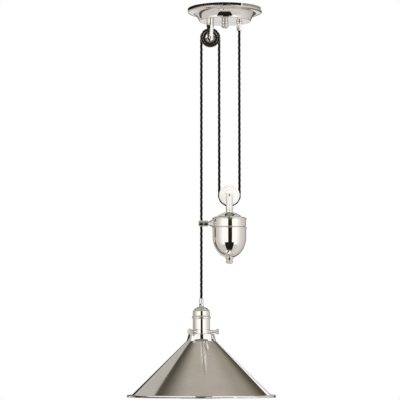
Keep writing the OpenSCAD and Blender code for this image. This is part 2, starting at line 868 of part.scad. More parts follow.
module grip_screw() {
    color(steel) bar_y(lamp_x, grip_screw_z, flex_r + 0.05, grip_r + 0.8, grip_screw_r);
}

// Turned cap: a flare, a dome and a rounded shoulder over a straight wall
module holder_cap() {
    t = holder_wall;
    hole_r = spigot_r + 0.05;
    dome_r = cap_dome_r - cap_curve_r;
    shoulder_x = holder_r - cap_shoulder_r;
    outer = concat(
        [[hole_r, grip_end_z], [grip_r + 0.1, grip_end_z]],
        arc(cap_flare_r, cap_flare_z, 5.2, 4.6, 170, 240, 4),
        arc(cap_curve_r, cap_dome_z, dome_r, 7.2, 75, 0, 7),
        arc(shoulder_x, cap_wall_z, cap_shoulder_r, 4, 88, 0, 5),
        [[holder_r, cap_end_z]]
    );
    inner = concat(
        [[holder_r - t, cap_end_z]],
        arc(shoulder_x, cap_wall_z, cap_shoulder_r - t, 4 - t, 0, 80, 4),
        arc(cap_curve_r, cap_dome_z - 1.4, dome_r - t, 7.2 - t, 0, 80, 5),
        [[8, cap_nut_z], [hole_r, cap_nut_z]]
    );
    color(nickel) turned(concat(outer, inner), lamp_x);
}

// Bead and long skirt, screwed into the cap
module holder_skirt() {
    t = holder_wall;
    inside = holder_r - t;
    bead_r = holder_bead_d / 2;
    profile = concat(
        [[inside - t, cap_end_z + 6], [inside - 0.05, cap_end_z + 6], [inside - 0.05, cap_end_z]],
        [[holder_r, cap_end_z], [holder_r + 0.8, cap_end_z - 0.6]],
        arc(bead_r - 2.4, (cap_end_z + skirt_bead_z) / 2, 2.4, 3.2, 80, -80, 6),
        [[holder_r + 0.8, skirt_bead_z + 0.6], [holder_r, skirt_bead_z], [holder_r, skirt_end_z]],
        [[inside, skirt_end_z], [inside, ledge_z], [inside - t, ledge_z]]
    );
    color(nickel) turned(profile, lamp_x);
}

// Ceramic body: a solid block over a sleeve round the screw shell
module holder_insulator() {
    shell_r = screw_shell_r + shell_wall + 0.05;
    profile = [
        [0, block_top_z], [insulator_r - 1.6, block_top_z], [insulator_r - 1.6, ledge_z],
        [insulator_r, ledge_z], [insulator_r, sleeve_end_z], [screw_shell_r + 0.3, sleeve_end_z],
        [screw_shell_r + 0.3, shell_end_z], [shell_r, shell_end_z], [shell_r, block_end_z], [0, block_end_z]
    ];
    color(white) difference() {
        turned(profile, lamp_x);
        for (side = [-1, 1]) {
            translate([lamp_x + side * post_x, 0, block_top_z - 6]) cylinder(r = post_r + 0.1, h = 20);
            translate([lamp_x + side * feed_x, 0, block_end_z - 1]) cylinder(r = 1.2, h = 30);
        }
        translate([lamp_x, 0, block_end_z - 1]) cylinder(r = 2.5, h = 4);
    }
}

// Brass thread that the bulb screws into
module screw_shell() {
    color(brass_colour) ring(lamp_x, shell_end_z, shell_top_z, screw_shell_r + shell_wall, screw_shell_r);
}

module centre_contact() {
    color(brass_colour) turned(
        [[0, block_end_z + 3], [2.4, block_end_z + 3], [2.4, block_end_z], [6, block_end_z],
        [6, block_end_z - 0.8],
        [3, contact_end_z], [0, contact_end_z]], lamp_x);
}

// Two posts with clamping screws on top of the ceramic body
module holder_terminals() {
    color(brass_colour) for (side = [-1, 1]) {
        translate([lamp_x + side * post_x, 0, block_top_z - 6]) cylinder(r = post_r, h = 9);
        translate([lamp_x + side * post_x, 0, block_top_z + 3]) cylinder(r = post_r - 0.3, h = 1.5);
    }
}

// The cores inside the cap, from the flex's end to the posts
module holder_cores() {
    start_z = flex_foot_z - 0.2;
    color(flex_colour) for (side = [-1, 1])
        core([
            [lamp_x + side * 1.4, 0, start_z],
            [lamp_x + side * 1.4, 0, start_z - 5],
            [lamp_x + side * 6, 0, start_z - 8],
            [lamp_x + side * 7.3, 0, block_top_z + 1.5]
        ]);
}

// ---- Gallery and shade ----

// A round bar that points outwards from the lamp's axis at angle a
module spoke(a, r0, r1, bar_r) {
    translate([lamp_x, 0, thumb_z]) rotate([0, 0, a]) translate([r0, 0, 0]) rotate([0, 90, 0])
        cylinder(r = bar_r, h = r1 - r0);
}

// Collar with three screw bosses, a bell and a threaded spigot for the shade
module gallery() {
    outer_r = collar_d / 2;
    floor_z = collar_end_z - floor_t;
    flare_z = shade_top_z + bell_flare_h;
    flare_r = bell_r - bell_flare;
    profile = concat(
        [[collar_inner_r, collar_top_z], [outer_r - 0.5, collar_top_z], [outer_r, collar_top_z - 0.5]],
        [[outer_r, collar_end_z]],
        arc(shoulder_r - 1.6, collar_end_z - 1.6, 1.6, 1.6, 90, 15, 3),
        [[flare_r, flare_z], [bell_r, shade_top_z], [bell_r - bell_wall, shade_top_z]],
        [[flare_r - bell_wall, flare_z], [shoulder_r - bell_wall, floor_z]],
        [[spigot_out_r, floor_z], [spigot_out_r, spigot_end_z], [spigot_in_r, spigot_end_z]],
        [[spigot_in_r, floor_z], [collar_inner_r, floor_z]]
    );
    color(nickel) difference() {
        union() {
            turned(profile, lamp_x);
            for (a = thumb_angles) spoke(a, outer_r - 0.9, boss_end, boss_r);
        }
        for (a = thumb_angles) spoke(a, 10, 60, shank_r + 0.05);
    }
}

// Thumbscrew: a shank, a neck, a small barrel and a wide gripping disc
module thumbscrew(a) {
    head = [
        [0, boss_end + thumb_gap], [thumb_neck_r, boss_end + thumb_gap], [thumb_neck_r, thumb_neck_end],
        [thumb_barrel_r, thumb_neck_end + 0.6], [thumb_barrel_r, thumb_barrel_end],
        [thumb_disc_r - 0.6, thumb_barrel_end], [thumb_disc_r, thumb_barrel_end + 0.6],
        [thumb_disc_r, thumb_end - 0.8], [thumb_disc_r - 0.8, thumb_end], [0, thumb_end]
    ];
    color(nickel) {
        spoke(a, holder_r + 0.02, boss_end + 1, shank_r);
        translate([lamp_x, 0, thumb_z]) rotate([0, 0, a]) rotate([0, 90, 0]) rotate_extrude() polygon(head);
    }
}

module thumbscrew_right() {
    thumbscrew(thumb_angles[0]);
}

module thumbscrew_left() {
    thumbscrew(thumb_angles[1]);
}

module thumbscrew_back() {
    thumbscrew(thumb_angles[2]);
}

// Spun cone with a neck ring above and a flat, rolled rim below
module shade() {
    t = shade_t;
    top = shade_top_z;
    foot = [shade_foot_r, shade_foot_z];
    rim_x = shade_rim_r - chained_x(rim_radii, rim_turns);
    rim = chained([rim_x, shade_foot_z - rim_radii[0]], rim_radii, rim_turns, 4);
    rim_foot = rim[len(rim) - 1];
    inside_x = shade_rim_r - shade_rim_t;
    color(nickel) turned(concat(
        [[spigot_out_r + 0.1, top], [shade_top_r, top]],
        [foot],
        rim,
        [rim_foot - [1, 0], [inside_x, rim_foot[1] + 1.2], [inside_x, foot[1] - t]],
        [[foot[0] - t * 0.4, foot[1] - t], [foot[0] - t * 1.42, foot[1]]],
        [[shade_top_r - t * 0.42, top - t]],
        [[spigot_out_r + 0.1, top - t]]
    ), lamp_x);
}

// Threaded ring that clamps the shade to the gallery from inside
module shade_ring() {
    z1 = shade_top_z - shade_t;
    color(nickel) difference() {
        ring(lamp_x, z1 - ring_t, z1, ring_r, spigot_out_r);
        for (a = [0:45:315])
            translate([lamp_x, 0, z1 - ring_t - 1]) rotate([0, 0, a]) translate([ring_r, 0, 0])
                cylinder(r = ring_notch_r, h = ring_t + 2);
    }
}

rose_cover();
ceiling_bracket();
centre_stud();
stud_lock_nut();
rose_finial();
load_plate();
terminal_block();
terminal_screws();
rose_cores();
earth_screw();
ceiling_fork();
fork_washer();
fork_nut();
ceiling_axle();
ceiling_axle_nut();
ceiling_wheel();
ceiling_wheel_bush();
anchor_gland();
anchor_washer();
anchor_nut();
anchor_grub_screw();
flex_lamp_fall();
flex_over_wheel();
flex_middle_fall();
flex_under_wheel();
flex_anchor_fall();
weight_fork();
weight_axle();
weight_axle_nut();
weight_wheel();
weight_wheel_bush();
weight_lid();
weight_band();
weight_cup();
ballast();
ballast_nut();
tie_rod();
weight_knob();
guide_arm();
guide_arm_nut();
guide_bush();
cord_grip();
grip_nut();
grip_screw();
holder_cap();
holder_skirt();
holder_insulator();
screw_shell();
centre_contact();
holder_terminals();
holder_cores();
gallery();
thumbscrew_right();
thumbscrew_left();
thumbscrew_back();
shade();
shade_ring();
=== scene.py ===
# %% [markdown]
# # A rise and fall pendant in polished nickel
# The lamp hangs on a black twisted flex. The flex comes up from the lampholder, runs over a grooved wheel
# under the ceiling rose, goes down and round the wheel of a counterweight, and ends in a gland on the rose.
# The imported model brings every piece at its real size. This script dresses it: it replaces what shows with
# fine surfaces, makes the flex strand by strand, and gives every piece a finish.

# %% Load the frame
import json
import math

import bmesh
import bpy
import numpy as np
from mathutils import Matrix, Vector


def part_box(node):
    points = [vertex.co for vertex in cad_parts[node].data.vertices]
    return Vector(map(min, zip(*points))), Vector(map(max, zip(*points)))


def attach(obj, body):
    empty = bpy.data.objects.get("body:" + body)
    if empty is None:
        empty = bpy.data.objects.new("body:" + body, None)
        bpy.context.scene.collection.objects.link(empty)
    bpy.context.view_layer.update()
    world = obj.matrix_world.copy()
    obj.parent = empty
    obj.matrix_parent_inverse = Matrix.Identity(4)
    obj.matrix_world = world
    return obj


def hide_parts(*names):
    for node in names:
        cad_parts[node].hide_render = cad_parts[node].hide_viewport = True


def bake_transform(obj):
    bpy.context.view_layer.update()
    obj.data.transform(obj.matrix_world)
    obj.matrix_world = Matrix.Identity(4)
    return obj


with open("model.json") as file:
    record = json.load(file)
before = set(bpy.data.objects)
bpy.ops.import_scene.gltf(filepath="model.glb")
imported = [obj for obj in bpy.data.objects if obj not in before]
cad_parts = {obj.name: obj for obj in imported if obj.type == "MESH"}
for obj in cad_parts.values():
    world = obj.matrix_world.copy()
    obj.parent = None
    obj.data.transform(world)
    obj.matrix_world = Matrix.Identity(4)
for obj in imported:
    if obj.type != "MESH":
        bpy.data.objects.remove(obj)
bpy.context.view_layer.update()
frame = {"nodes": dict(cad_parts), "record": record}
MM = 0.001

# %% [markdown]
# ## Where things are
# Every place comes from the frame. A turned piece needs only its axis and an outline, so the middle of a
# node's box gives the axis, and its ends give the heights.


# %% Places, in millimetres
def middle(node):
    """The middle of a node's box, in millimetres."""
    low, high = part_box(node)
    return (low + high) / 2 / MM


def span(node, axis=2):
    """The lowest and highest millimetre of a node along one axis."""
    low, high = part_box(node)
    return low[axis] / MM, high[axis] / MM


LAMP_X = middle("holder_skirt").x
CEILING_WHEEL = middle("ceiling_wheel")
WEIGHT_WHEEL = middle("weight_wheel")
ANCHOR_X = middle("anchor_gland").x
MIDDLE_X = 2 * CEILING_WHEEL.x - LAMP_X
CEILING_PITCH = CEILING_WHEEL.x - LAMP_X
WEIGHT_PITCH = WEIGHT_WHEEL.x - MIDDLE_X
print("axes", round(LAMP_X, 2), round(MIDDLE_X, 2), round(ANCHOR_X, 2), "pitch", round(WEIGHT_PITCH, 2))

# %% [markdown]
# ## Camera
# The photograph is a long-lens view. The rose is seen from about ten degrees below and the shade's rim from
# just above, so the camera stands level with the shade, far back, and tilts up a little.

# %% Camera
CAMERA_PLACE = (-0.0687, -5.2, -0.98)
CAMERA_TILT = 4.952
camera_data = bpy.data.cameras.new("camera")
camera_data.lens = 171.5
camera_data.sensor_width = 36
camera_data.clip_end = 100
camera = bpy.data.objects.new("camera", camera_data)
camera.location = CAMERA_PLACE
camera.rotation_euler = (math.radians(90 + CAMERA_TILT), 0, 0)
bpy.context.scene.collection.objects.link(camera)
bpy.context.scene.camera = camera
print("camera at", CAMERA_PLACE, "tilted up by", CAMERA_TILT, "degrees")

# %% [markdown]
# ## Surfaces from grids
# A grid of points is a surface: rows run one way and columns the other. One helper turns such an array into
# a mesh, closing it in either direction, so no piece needs a loop over its vertices.


# %% Grid to mesh
def grid_faces(rows, columns, wrap_rows, wrap_columns):
    """Four corner indices for each cell of a rows x columns grid, wrapped where asked."""
    i = np.arange(rows if wrap_rows else rows - 1)
    j = np.arange(columns if wrap_columns else columns - 1)
    i, j = np.meshgrid(i, j, indexing="ij")
    i2, j2 = (i + 1) % rows, (j + 1) % columns
    corners = [i * columns + j, i2 * columns + j, i2 * columns + j2, i * columns + j2]
    return np.stack(corners, axis=-1).reshape(-1, 4)


def mesh_from_grid(name, points, wrap_rows=False, wrap_columns=True, merge=0.0):
    """A mesh object from an array of shape (rows, columns, 3) in millimetres. Faces point outwards."""
    rows, columns = points.shape[:2]
    mesh = bpy.data.meshes.new(name)
    faces = grid_faces(rows, columns, wrap_rows, wrap_columns)
    mesh.from_pydata((points.reshape(-1, 3) * MM).tolist(), [], faces.tolist())
    work = bmesh.new()
    work.from_mesh(mesh)
    if merge:
        bmesh.ops.remove_doubles(work, verts=work.verts, dist=merge * MM)
        bmesh.ops.dissolve_degenerate(work, edges=work.edges, dist=merge * MM / 2)
    bmesh.ops.recalc_face_normals(work, faces=work.faces)
    work.to_mesh(mesh)
    work.free()
    piece = bpy.data.objects.new(name, mesh)
    bpy.context.scene.collection.objects.link(piece)
    return piece


def polish(piece, angle=40):
    """Smooth shading that keeps flats flat: corners over the angle stay crisp, and big faces lead."""
    mesh = piece.data
    mesh.polygons.foreach_set("use_smooth", np.ones(len(mesh.polygons), bool))
    mesh.set_sharp_from_angle(angle=math.radians(angle))
    weighted = piece.modifiers.new("weighted_normals", "WEIGHTED_NORMAL")
    weighted.keep_sharp = True
    weighted.weight = 80
    return piece


# %% [markdown]
# ## Outlines
# Turned and spun metal is an outline swept about an axis. An outline is a short list of corners, with arcs
# where the metal is round. Real corners are never perfectly sharp, and the small round on each one is what
# catches the light, so every corner is eased by a short curve before the outline is swept.


# %% Arcs, eased corners and turning
def arc(centre_r, centre_z, radius_r, radius_z, start, end, steps=10):
    """Points on an ellipse: centre plus radius times cosine and sine, from start to end in degrees."""
    a = np.radians(np.linspace(start, end, steps + 1))
    return np.column_stack([centre_r + radius_r * np.cos(a), centre_z + radius_z * np.sin(a)])


def bowed(start, end, sag, steps=20):
    """Points from start to end, bowed to the left of that way: four times sag times t times (1 - t)."""
    start, end = np.asarray(start, float), np.asarray(end, float)
    way = (end - start) / np.linalg.norm(end - start)
    t = np.linspace(0, 1, steps + 1)[:, None]
    return start + (end - start) * t + 4 * sag * t * (1 - t) * np.array([-way[1], way[0]])


def joined(*parts):
    """One outline from arcs and single corners, in order."""
    return np.vstack([np.atleast_2d(np.asarray(part, float)) for part in parts])


def eased(outline, radius, closed=True, steps=4):
    """Replaces each corner sharper than 20 degrees by a quadratic curve that starts and ends radius away."""
    before = outline - np.roll(outline, 1, axis=0)
    after = np.roll(outline, -1, axis=0) - outline
    length_before = np.linalg.norm(before, axis=1) + 1e-9
    length_after = np.linalg.norm(after, axis=1) + 1e-9
    before = before / length_before[:, None]
    after = after / length_after[:, None]
    turn = np.degrees(np.arccos(np.clip((before * after).sum(1), -1, 1)))
    reach = np.minimum(radius, 0.45 * np.minimum(length_before, length_after))
    reach[turn < 20] = 0
    if not closed:
        reach[[0, -1]] = 0
    t = np.linspace(0, 1, steps + 1)[None, :, None]
    start = (outline - before * reach[:, None])[:, None]
    end = (outline + after * reach[:, None])[:, None]
    curve = (1 - t) ** 2 * start + 2 * t * (1 - t) * outline[:, None] + t ** 2 * end
    points = curve.reshape(-1, 2)
    fresh = np.linalg.norm(points - np.roll(points, 1, axis=0), axis=1) > 1e-6
    fresh[0] = True
    return points[fresh]


def swept(outline, centre, axis="z", columns=128):
    """Turns an outline of (radius, height) about an axis: radius times cosine and sine, then the height."""
    a = np.linspace(0, 2 * np.pi, columns, endpoint=False)
    radius, height = outline[:, 0, None], outline[:, 1, None]
    across = radius * np.cos(a)
    aside = radius * np.sin(a)
    along = np.broadcast_to(height, across.shape)
    order = {"z": (across, aside, along), "y": (across, along, aside), "x": (along, across, aside)}[axis]
    return np.stack(order, axis=-1) + np.asarray(centre, float)


def turned(name, outline, centre, axis="z", columns=128, ease=0.25, solid=False):
    """A turned piece. Its outline is a closed loop, or ends on the axis at both ends when solid is true."""
    points = eased(outline, ease, closed=not solid)
    piece = mesh_from_grid(name, swept(points, centre, axis, columns), wrap_rows=not solid, merge=0.001)
    return polish(piece)


# %% [markdown]
# ## Finishes
# Nearly everything that shows is polished nickel plate. Its colour is close to white with a touch of yellow,
# and its character comes from what it reflects. Two faint effects keep it from looking drawn: the turning
# marks that run round each piece, and the uneven film that fingers and cloth leave. Both are node groups,
# placed in each material with their own values.


# %% Node helpers
def group(name, inputs, outputs):
    """An empty shader node group with named inputs (name, type, value) and outputs (name, type)."""
    tree = bpy.data.node_groups.new(name, "ShaderNodeTree")
    for label, kind, value in inputs:
        socket = tree.interface.new_socket(label, in_out="INPUT", socket_type=kind)
        socket.default_value = value
    for label, kind in outputs:
        tree.interface.new_socket(label, in_out="OUTPUT", socket_type=kind)
    return tree, tree.nodes.new("NodeGroupInput"), tree.nodes.new("NodeGroupOutput")


def math_node(tree, operation, a, b=None, c=None, clamp=False):
    """A Math node; each argument is a socket or a number."""
    node = tree.nodes.new("ShaderNodeMath")
    node.operation = operation
    node.use_clamp = clamp
    for socket, value in zip(node.inputs, (a, b, c)):
        if value is None:
            continue
        if isinstance(value, (int, float)):
            socket.default_value = value
        else:
            tree.links.new(value, socket)
    return node.outputs[0]


def mix_colour(tree, factor, a, b):
    """A Mix node in colour mode; a and b are sockets or four numbers."""
    node = tree.nodes.new("ShaderNodeMix")
    node.data_type = "RGBA"
    tree.links.new(factor, node.inputs["Factor"])
    for socket, value in ((node.inputs[6], a), (node.inputs[7], b)):
        if isinstance(value, tuple):
            socket.default_value = (*value, 1) if len(value) == 3 else value
        else:
            tree.links.new(value, socket)
    return node.outputs[2]


def ramp(tree, value, low, high, to_low=0.0, to_high=1.0, smooth=True):
    """Maps a value from low..high to to_low..to_high and holds it at the ends."""
    node = tree.nodes.new("ShaderNodeMapRange")
    node.interpolation_type = "SMOOTHSTEP" if smooth else "LINEAR"
    node.clamp = True
    tree.links.new(value, node.inputs["Value"])
    for label, number in (("From Min", low), ("From Max", high), ("To Min", to_low), ("To Max", to_high)):
        node.inputs[label].default_value = number
    return node.outputs[0]


# %% Group: turning marks
def make_turning_marks():
    """Rings about a vertical axis: noise read along radius plus height, so it is the same all round."""
    tree, given, out = group(
        "turning_marks",
        [("Axis X", "NodeSocketFloat", 0.0), ("Marks per metre", "NodeSocketFloat", 2500.0)],
        [("Height", "NodeSocketFloat")],
    )
    place = tree.nodes.new("ShaderNodeTexCoord")
    split = tree.nodes.new("ShaderNodeSeparateXYZ")
    tree.links.new(place.outputs["Object"], split.inputs[0])
    across = math_node(tree, "SUBTRACT", split.outputs[0], given.outputs["Axis X"])
    squared = math_node(tree, "ADD", math_node(tree, "MULTIPLY", across, across),
                        math_node(tree, "MULTIPLY", split.outputs[1], split.outputs[1]))
    radius = math_node(tree, "SQRT", squared)
    along = math_node(tree, "ADD", radius, split.outputs[2])
    noise = tree.nodes.new("ShaderNodeTexNoise")
    noise.noise_dimensions = "1D"
    noise.inputs["Detail"].default_value = 2
    tree.links.new(math_node(tree, "MULTIPLY", along, given.outputs["Marks per metre"]), noise.inputs["W"])
    noise.inputs["Scale"].default_value = 1
    tree.links.new(noise.outputs[0], out.inputs["Height"])
    return tree


# %% Group: handling film
def make_handling_film():
    """Broad soft patches where the polish is slightly dulled, from two noises of different size."""
    tree, given, out = group(
        "handling_film",
        [("Scale", "NodeSocketFloat", 18.0), ("Low", "NodeSocketFloat", 0.04),
         ("High", "NodeSocketFloat", 0.12)],
        [("Roughness", "NodeSocketFloat"), ("Mask", "NodeSocketFloat")],
    )
    place = tree.nodes.new("ShaderNodeTexCoord")
    broad = tree.nodes.new("ShaderNodeTexNoise")
    fine = tree.nodes.new("ShaderNodeTexNoise")
    for noise, factor in ((broad, 1.0), (fine, 7.0)):
        tree.links.new(place.outputs["Object"], noise.inputs["Vector"])
        tree.links.new(math_node(tree, "MULTIPLY", given.outputs["Scale"], factor), noise.inputs["Scale"])
        noise.inputs["Detail"].default_value = 3
    mixed = math_node(tree, "ADD", math_node(tree, "MULTIPLY", broad.outputs[0], 0.7),
                      math_node(tree, "MULTIPLY", fine.outputs[0], 0.3))
    mask = ramp(tree, mixed, 0.38, 0.66)
    reach = math_node(tree, "SUBTRACT", given.outputs["High"], given.outputs["Low"])
    rough = math_node(tree, "ADD", math_node(tree, "MULTIPLY", mask, reach), given.outputs["Low"])
    tree.links.new(rough, out.inputs["Roughness"])
    tree.links.new(mask, out.inputs["Mask"])
    return tree


TURNING_MARKS = make_turning_marks()
HANDLING_FILM = make_handling_film()


# %% Material helper
def material(name, base, metallic=0.0, roughness=0.5, **sockets):
    """A material with one Principled BSDF; further keywords set its sockets by name."""
    made = bpy.data.materials.new(name)
    made.use_nodes = True
    shader = made.node_tree.nodes["Principled BSDF"]
    shader.inputs["Base Color"].default_value = (*base, 1)
    shader.inputs["Metallic"].default_value = metallic
    shader.inputs["Roughness"].default_value = roughness
    for label, value in sockets.items():
        shader.inputs[label.replace("_", " ")].default_value = value
    return made, made.node_tree, shader


def place_group(tree, which, **values):
    """Places a node group and sets its inputs."""
    node = tree.nodes.new("ShaderNodeGroup")
    node.node_tree = which
    for label, value in values.items():
        node.inputs[label.replace("_", " ")].default_value = value
    return node


def bump(tree, shader, height, distance, strength=1.0):
    """Feeds a height to the shader's Normal."""
    node = tree.nodes.new("ShaderNodeBump")
    node.inputs["Distance"].default_value = distance
    node.inputs["Strength"].default_value = strength
    tree.links.new(height, node.inputs["Height"])
    tree.links.new(node.outputs[0], shader.inputs["Normal"])


# %% [markdown]
# Nickel is made once for each axis, because the turning marks are centred on it. The shade is spun, so its
# marks are broader than those of the small turned parts, and they smear what it mirrors up and down the cone:
# the gloss is made anisotropic, with a tangent that runs round the axis.


# %% Nickel
NICKEL = (0.93, 0.912, 0.885)


def make_nickel(name, axis_x, marks=2500.0, depth=0.0000005, low=0.02, high=0.055, tint=NICKEL):
    """Polished nickel plate with turning marks about x = axis_x millimetres."""
    made, tree, shader = material(name, tint, metallic=1.0)
    film = place_group(tree, HANDLING_FILM, Scale=16.0, Low=low, High=high)
    marks_node = place_group(tree, TURNING_MARKS, Axis_X=axis_x * MM, Marks_per_metre=marks)
    tree.links.new(film.outputs["Roughness"], shader.inputs["Roughness"])
    dull = tuple(0.93 * value for value in tint)
    tree.links.new(mix_colour(tree, film.outputs["Mask"], tint, dull), shader.inputs["Base Color"])
    bump(tree, shader, marks_node.outputs["Height"], depth)
    return made


NICKEL_ROSE = make_nickel("nickel_rose", 0.0, marks=1600.0)
NICKEL_WEIGHT = make_nickel("nickel_weight", WEIGHT_WHEEL.x)
NICKEL_LAMP = make_nickel("nickel_lamp", LAMP_X)
NICKEL_ANCHOR = make_nickel("nickel_anchor", ANCHOR_X)
NICKEL_FORK = make_nickel("nickel_fork", CEILING_WHEEL.x)
NICKEL_SHADE = make_nickel("nickel_shade", LAMP_X, marks=900.0, low=0.05, high=0.065)
shade_tree = NICKEL_SHADE.node_tree
radial = shade_tree.nodes.new("ShaderNodeTangent")
radial.direction_type = "RADIAL"
radial.axis = "Z"
spun = shade_tree.nodes["Principled BSDF"]
shade_tree.links.new(radial.outputs[0], spun.inputs["Tangent"])
spun.inputs["Anisotropic"].default_value = 0.97
spun.inputs["Anisotropic Rotation"].default_value = 0.25

# %% [markdown]
# The hidden pieces have plainer finishes: zinc-plated steel with fine scratches, brass, grey cast iron with a
# sandy skin, white glazed porcelain, and moulded plastic.


# %% Steel, brass, iron, porcelain and plastic
def speckled(name, base, other, scale, metallic, low, high, depth, **sockets):
    """A finish whose colour, gloss and skin vary with one noise."""
    made, tree, shader = material(name, base, metallic=metallic, **sockets)
    place = tree.nodes.new("ShaderNodeTexCoord")
    noise = tree.nodes.new("ShaderNodeTexNoise")
    noise.inputs["Scale"].default_value = scale
    noise.inputs["Detail"].default_value = 5
    tree.links.new(place.outputs["Object"], noise.inputs["Vector"])
    mask = ramp(tree, noise.outputs[0], 0.35, 0.68)
    tree.links.new(mix_colour(tree, mask, base, other), shader.inputs["Base Color"])
    tree.links.new(ramp(tree, noise.outputs[0], 0.3, 0.7, low, high), shader.inputs["Roughness"])
    bump(tree, shader, noise.outputs[0], depth)
    return made


STEEL = speckled("zinc_plated_steel", (0.58, 0.59, 0.60), (0.66, 0.66, 0.63), 90, 1.0, 0.22, 0.38, 0.00002)
BRASS = speckled("turned_brass", (0.78, 0.62, 0.30), (0.68, 0.51, 0.24), 60, 1.0, 0.18, 0.34, 0.00001)
IRON = speckled("cast_iron", (0.11, 0.11, 0.115), (0.17, 0.165, 0.16), 500, 0.6, 0.55, 0.8, 0.0003)
PORCELAIN = speckled("glazed_porcelain", (0.86, 0.85, 0.80), (0.83, 0.81, 0.75), 40, 0.0, 0.12, 0.2, 0.00004,
                     Coat_Weight=0.6, Coat_Roughness=0.05)
PLASTIC = speckled("white_plastic", (0.82, 0.81, 0.77), (0.79, 0.78, 0.73), 120, 0.0, 0.38, 0.48, 0.00003)
CORE = speckled("core_insulation", (0.03, 0.03, 0.032), (0.05, 0.05, 0.05), 200, 0.0, 0.4, 0.55, 0.00003)

# %% [markdown]
# ## The flex
# The flex is three cores, each in a black woven cover, twisted together: that is why its edge looks like a
# row of long bumps in the photograph. It is one length, so the twist has to run on from one stretch to the
# next. The route is measured from the lamp upwards, and each strand winds round it by one turn in every lay.
# The strands press into each other at the middle, and their crowns fill the bores that the flex runs through.

# %% Route of the flex
FLEX_RADIUS = (span("flex_lamp_fall", 0)[1] - span("flex_lamp_fall", 0)[0]) / 2
LAY = 47.0
STRAND_RADIUS = 0.585 * FLEX_RADIUS
STRAND_OFFSET = 0.47 * FLEX_RADIUS
LAMP_END_Z = span("flex_lamp_fall")[0]
CEILING_Z = CEILING_WHEEL.z
WEIGHT_Z = WEIGHT_WHEEL.z
ANCHOR_END_Z = span("flex_anchor_fall")[1]
STEP = 1.4


def fall_route(x, start_z, end_z):
    """Points straight up or down at x, and the unit direction along them."""
    count = int(abs(end_z - start_z) / STEP) + 2
    z = np.linspace(start_z, end_z, count)
    along = np.tile([0.0, 0.0, np.sign(end_z - start_z)], (count, 1))
    return np.column_stack([np.full(count, x), np.zeros(count), z]), along


def wrap_route(x, z, pitch, up):
    """Half a turn from the left side of a wheel to its right side, over it (up = 1) or under it (up = -1)."""
    count = int(math.pi * pitch / STEP) + 2
    a = np.linspace(np.pi, 0, count)
    points = np.column_stack([x + pitch * np.cos(a), np.zeros(count), z + up * pitch * np.sin(a)])
    along = np.column_stack([np.sin(a), np.zeros(count), -up * np.cos(a)])
    return points, along


STRETCHES = {
    "flex_lamp_fall": fall_route(LAMP_X, LAMP_END_Z, CEILING_Z),
    "flex_over_wheel": wrap_route(CEILING_WHEEL.x, CEILING_Z, CEILING_PITCH, 1),
    "flex_middle_fall": fall_route(MIDDLE_X, CEILING_Z, WEIGHT_Z),
    "flex_under_wheel": wrap_route(WEIGHT_WHEEL.x, WEIGHT_Z, WEIGHT_PITCH, -1),
    "flex_anchor_fall": fall_route(ANCHOR_X, WEIGHT_Z, ANCHOR_END_Z),
}


# %% Strands
def strand_grid(points, along, travelled, turn, sides=12):
    """One strand: its centre circles the route by the lay, and a small circle goes round that centre."""
    inward = np.column_stack([-along[:, 2], np.zeros(len(along)), along[:, 0]])
    sideways = np.tile([0.0, 1.0, 0.0], (len(along), 1))
    phase = (2 * np.pi * travelled / LAY + turn)[:, None]
    centre = points + STRAND_OFFSET * (np.cos(phase) * inward + np.sin(phase) * sideways)
    a = np.linspace(0, 2 * np.pi, sides, endpoint=False)[None, :, None]
    ring = np.cos(a) * inward[:, None] + np.sin(a) * sideways[:, None]
    return centre[:, None] + STRAND_RADIUS * ring


def strands_piece(name, points, along, start, sides=12):
    """Three strands as one mesh with a UV map: u goes round a strand, and v along it in its girths."""
    travelled = start + np.concatenate([[0], np.cumsum(np.linalg.norm(np.diff(points, axis=0), axis=1))])
    grids = [strand_grid(points, along, travelled, turn, sides) for turn in np.radians([0, 120, 240])]
    rows = len(points)
    per_strand = rows * sides
    vertices = np.concatenate([grid.reshape(-1, 3) for grid in grids]) * MM
    quads = grid_faces(rows, sides, False, True)
    faces = np.concatenate([quads + k * per_strand for k in range(3)])
    ends = []
    for k in range(3):
        ends.append(list(range(k * per_strand + sides - 1, k * per_strand - 1, -1)))
        ends.append(list(range((k + 1) * per_strand - sides, (k + 1) * per_strand)))
    mesh = bpy.data.meshes.new(name)
    mesh.from_pydata(vertices.tolist(), [], faces.tolist() + ends)
    girth = 2 * math.pi * STRAND_RADIUS
    i = np.repeat(np.arange(rows - 1), sides)
    j = np.tile(np.arange(sides), rows - 1)
    u = np.stack([j, j, j + 1, j + 1], axis=1) / sides
    v = np.stack([travelled[i], travelled[i + 1], travelled[i + 1], travelled[i]], axis=1) / girth
    corners = np.stack([u, v], axis=-1).reshape(-1, 2)
    uv = np.concatenate([np.tile(corners, (3, 1)), np.zeros((6 * sides, 2))])
    layer = mesh.uv_layers.new(name="weave")
    layer.data.foreach_set("uv", uv.astype(np.float32).ravel())
    work = bmesh.new()
    work.from_mesh(mesh)
    bmesh.ops.recalc_face_normals(work, faces=work.faces)
    work.to_mesh(mesh)
    work.free()
    mesh.polygons.foreach_set("use_smooth", np.ones(len(mesh.polygons), bool))
    piece = bpy.data.objects.new(name, mesh)
    bpy.context.scene.collection.objects.link(piece)
    return piece, travelled[-1]


# %% [markdown]
# The cover is a fine diagonal braid. Two families of threads cross, and at each crossing one is on top. The
# pattern follows the strand's own UV map, so it bends and stretches with the flex.


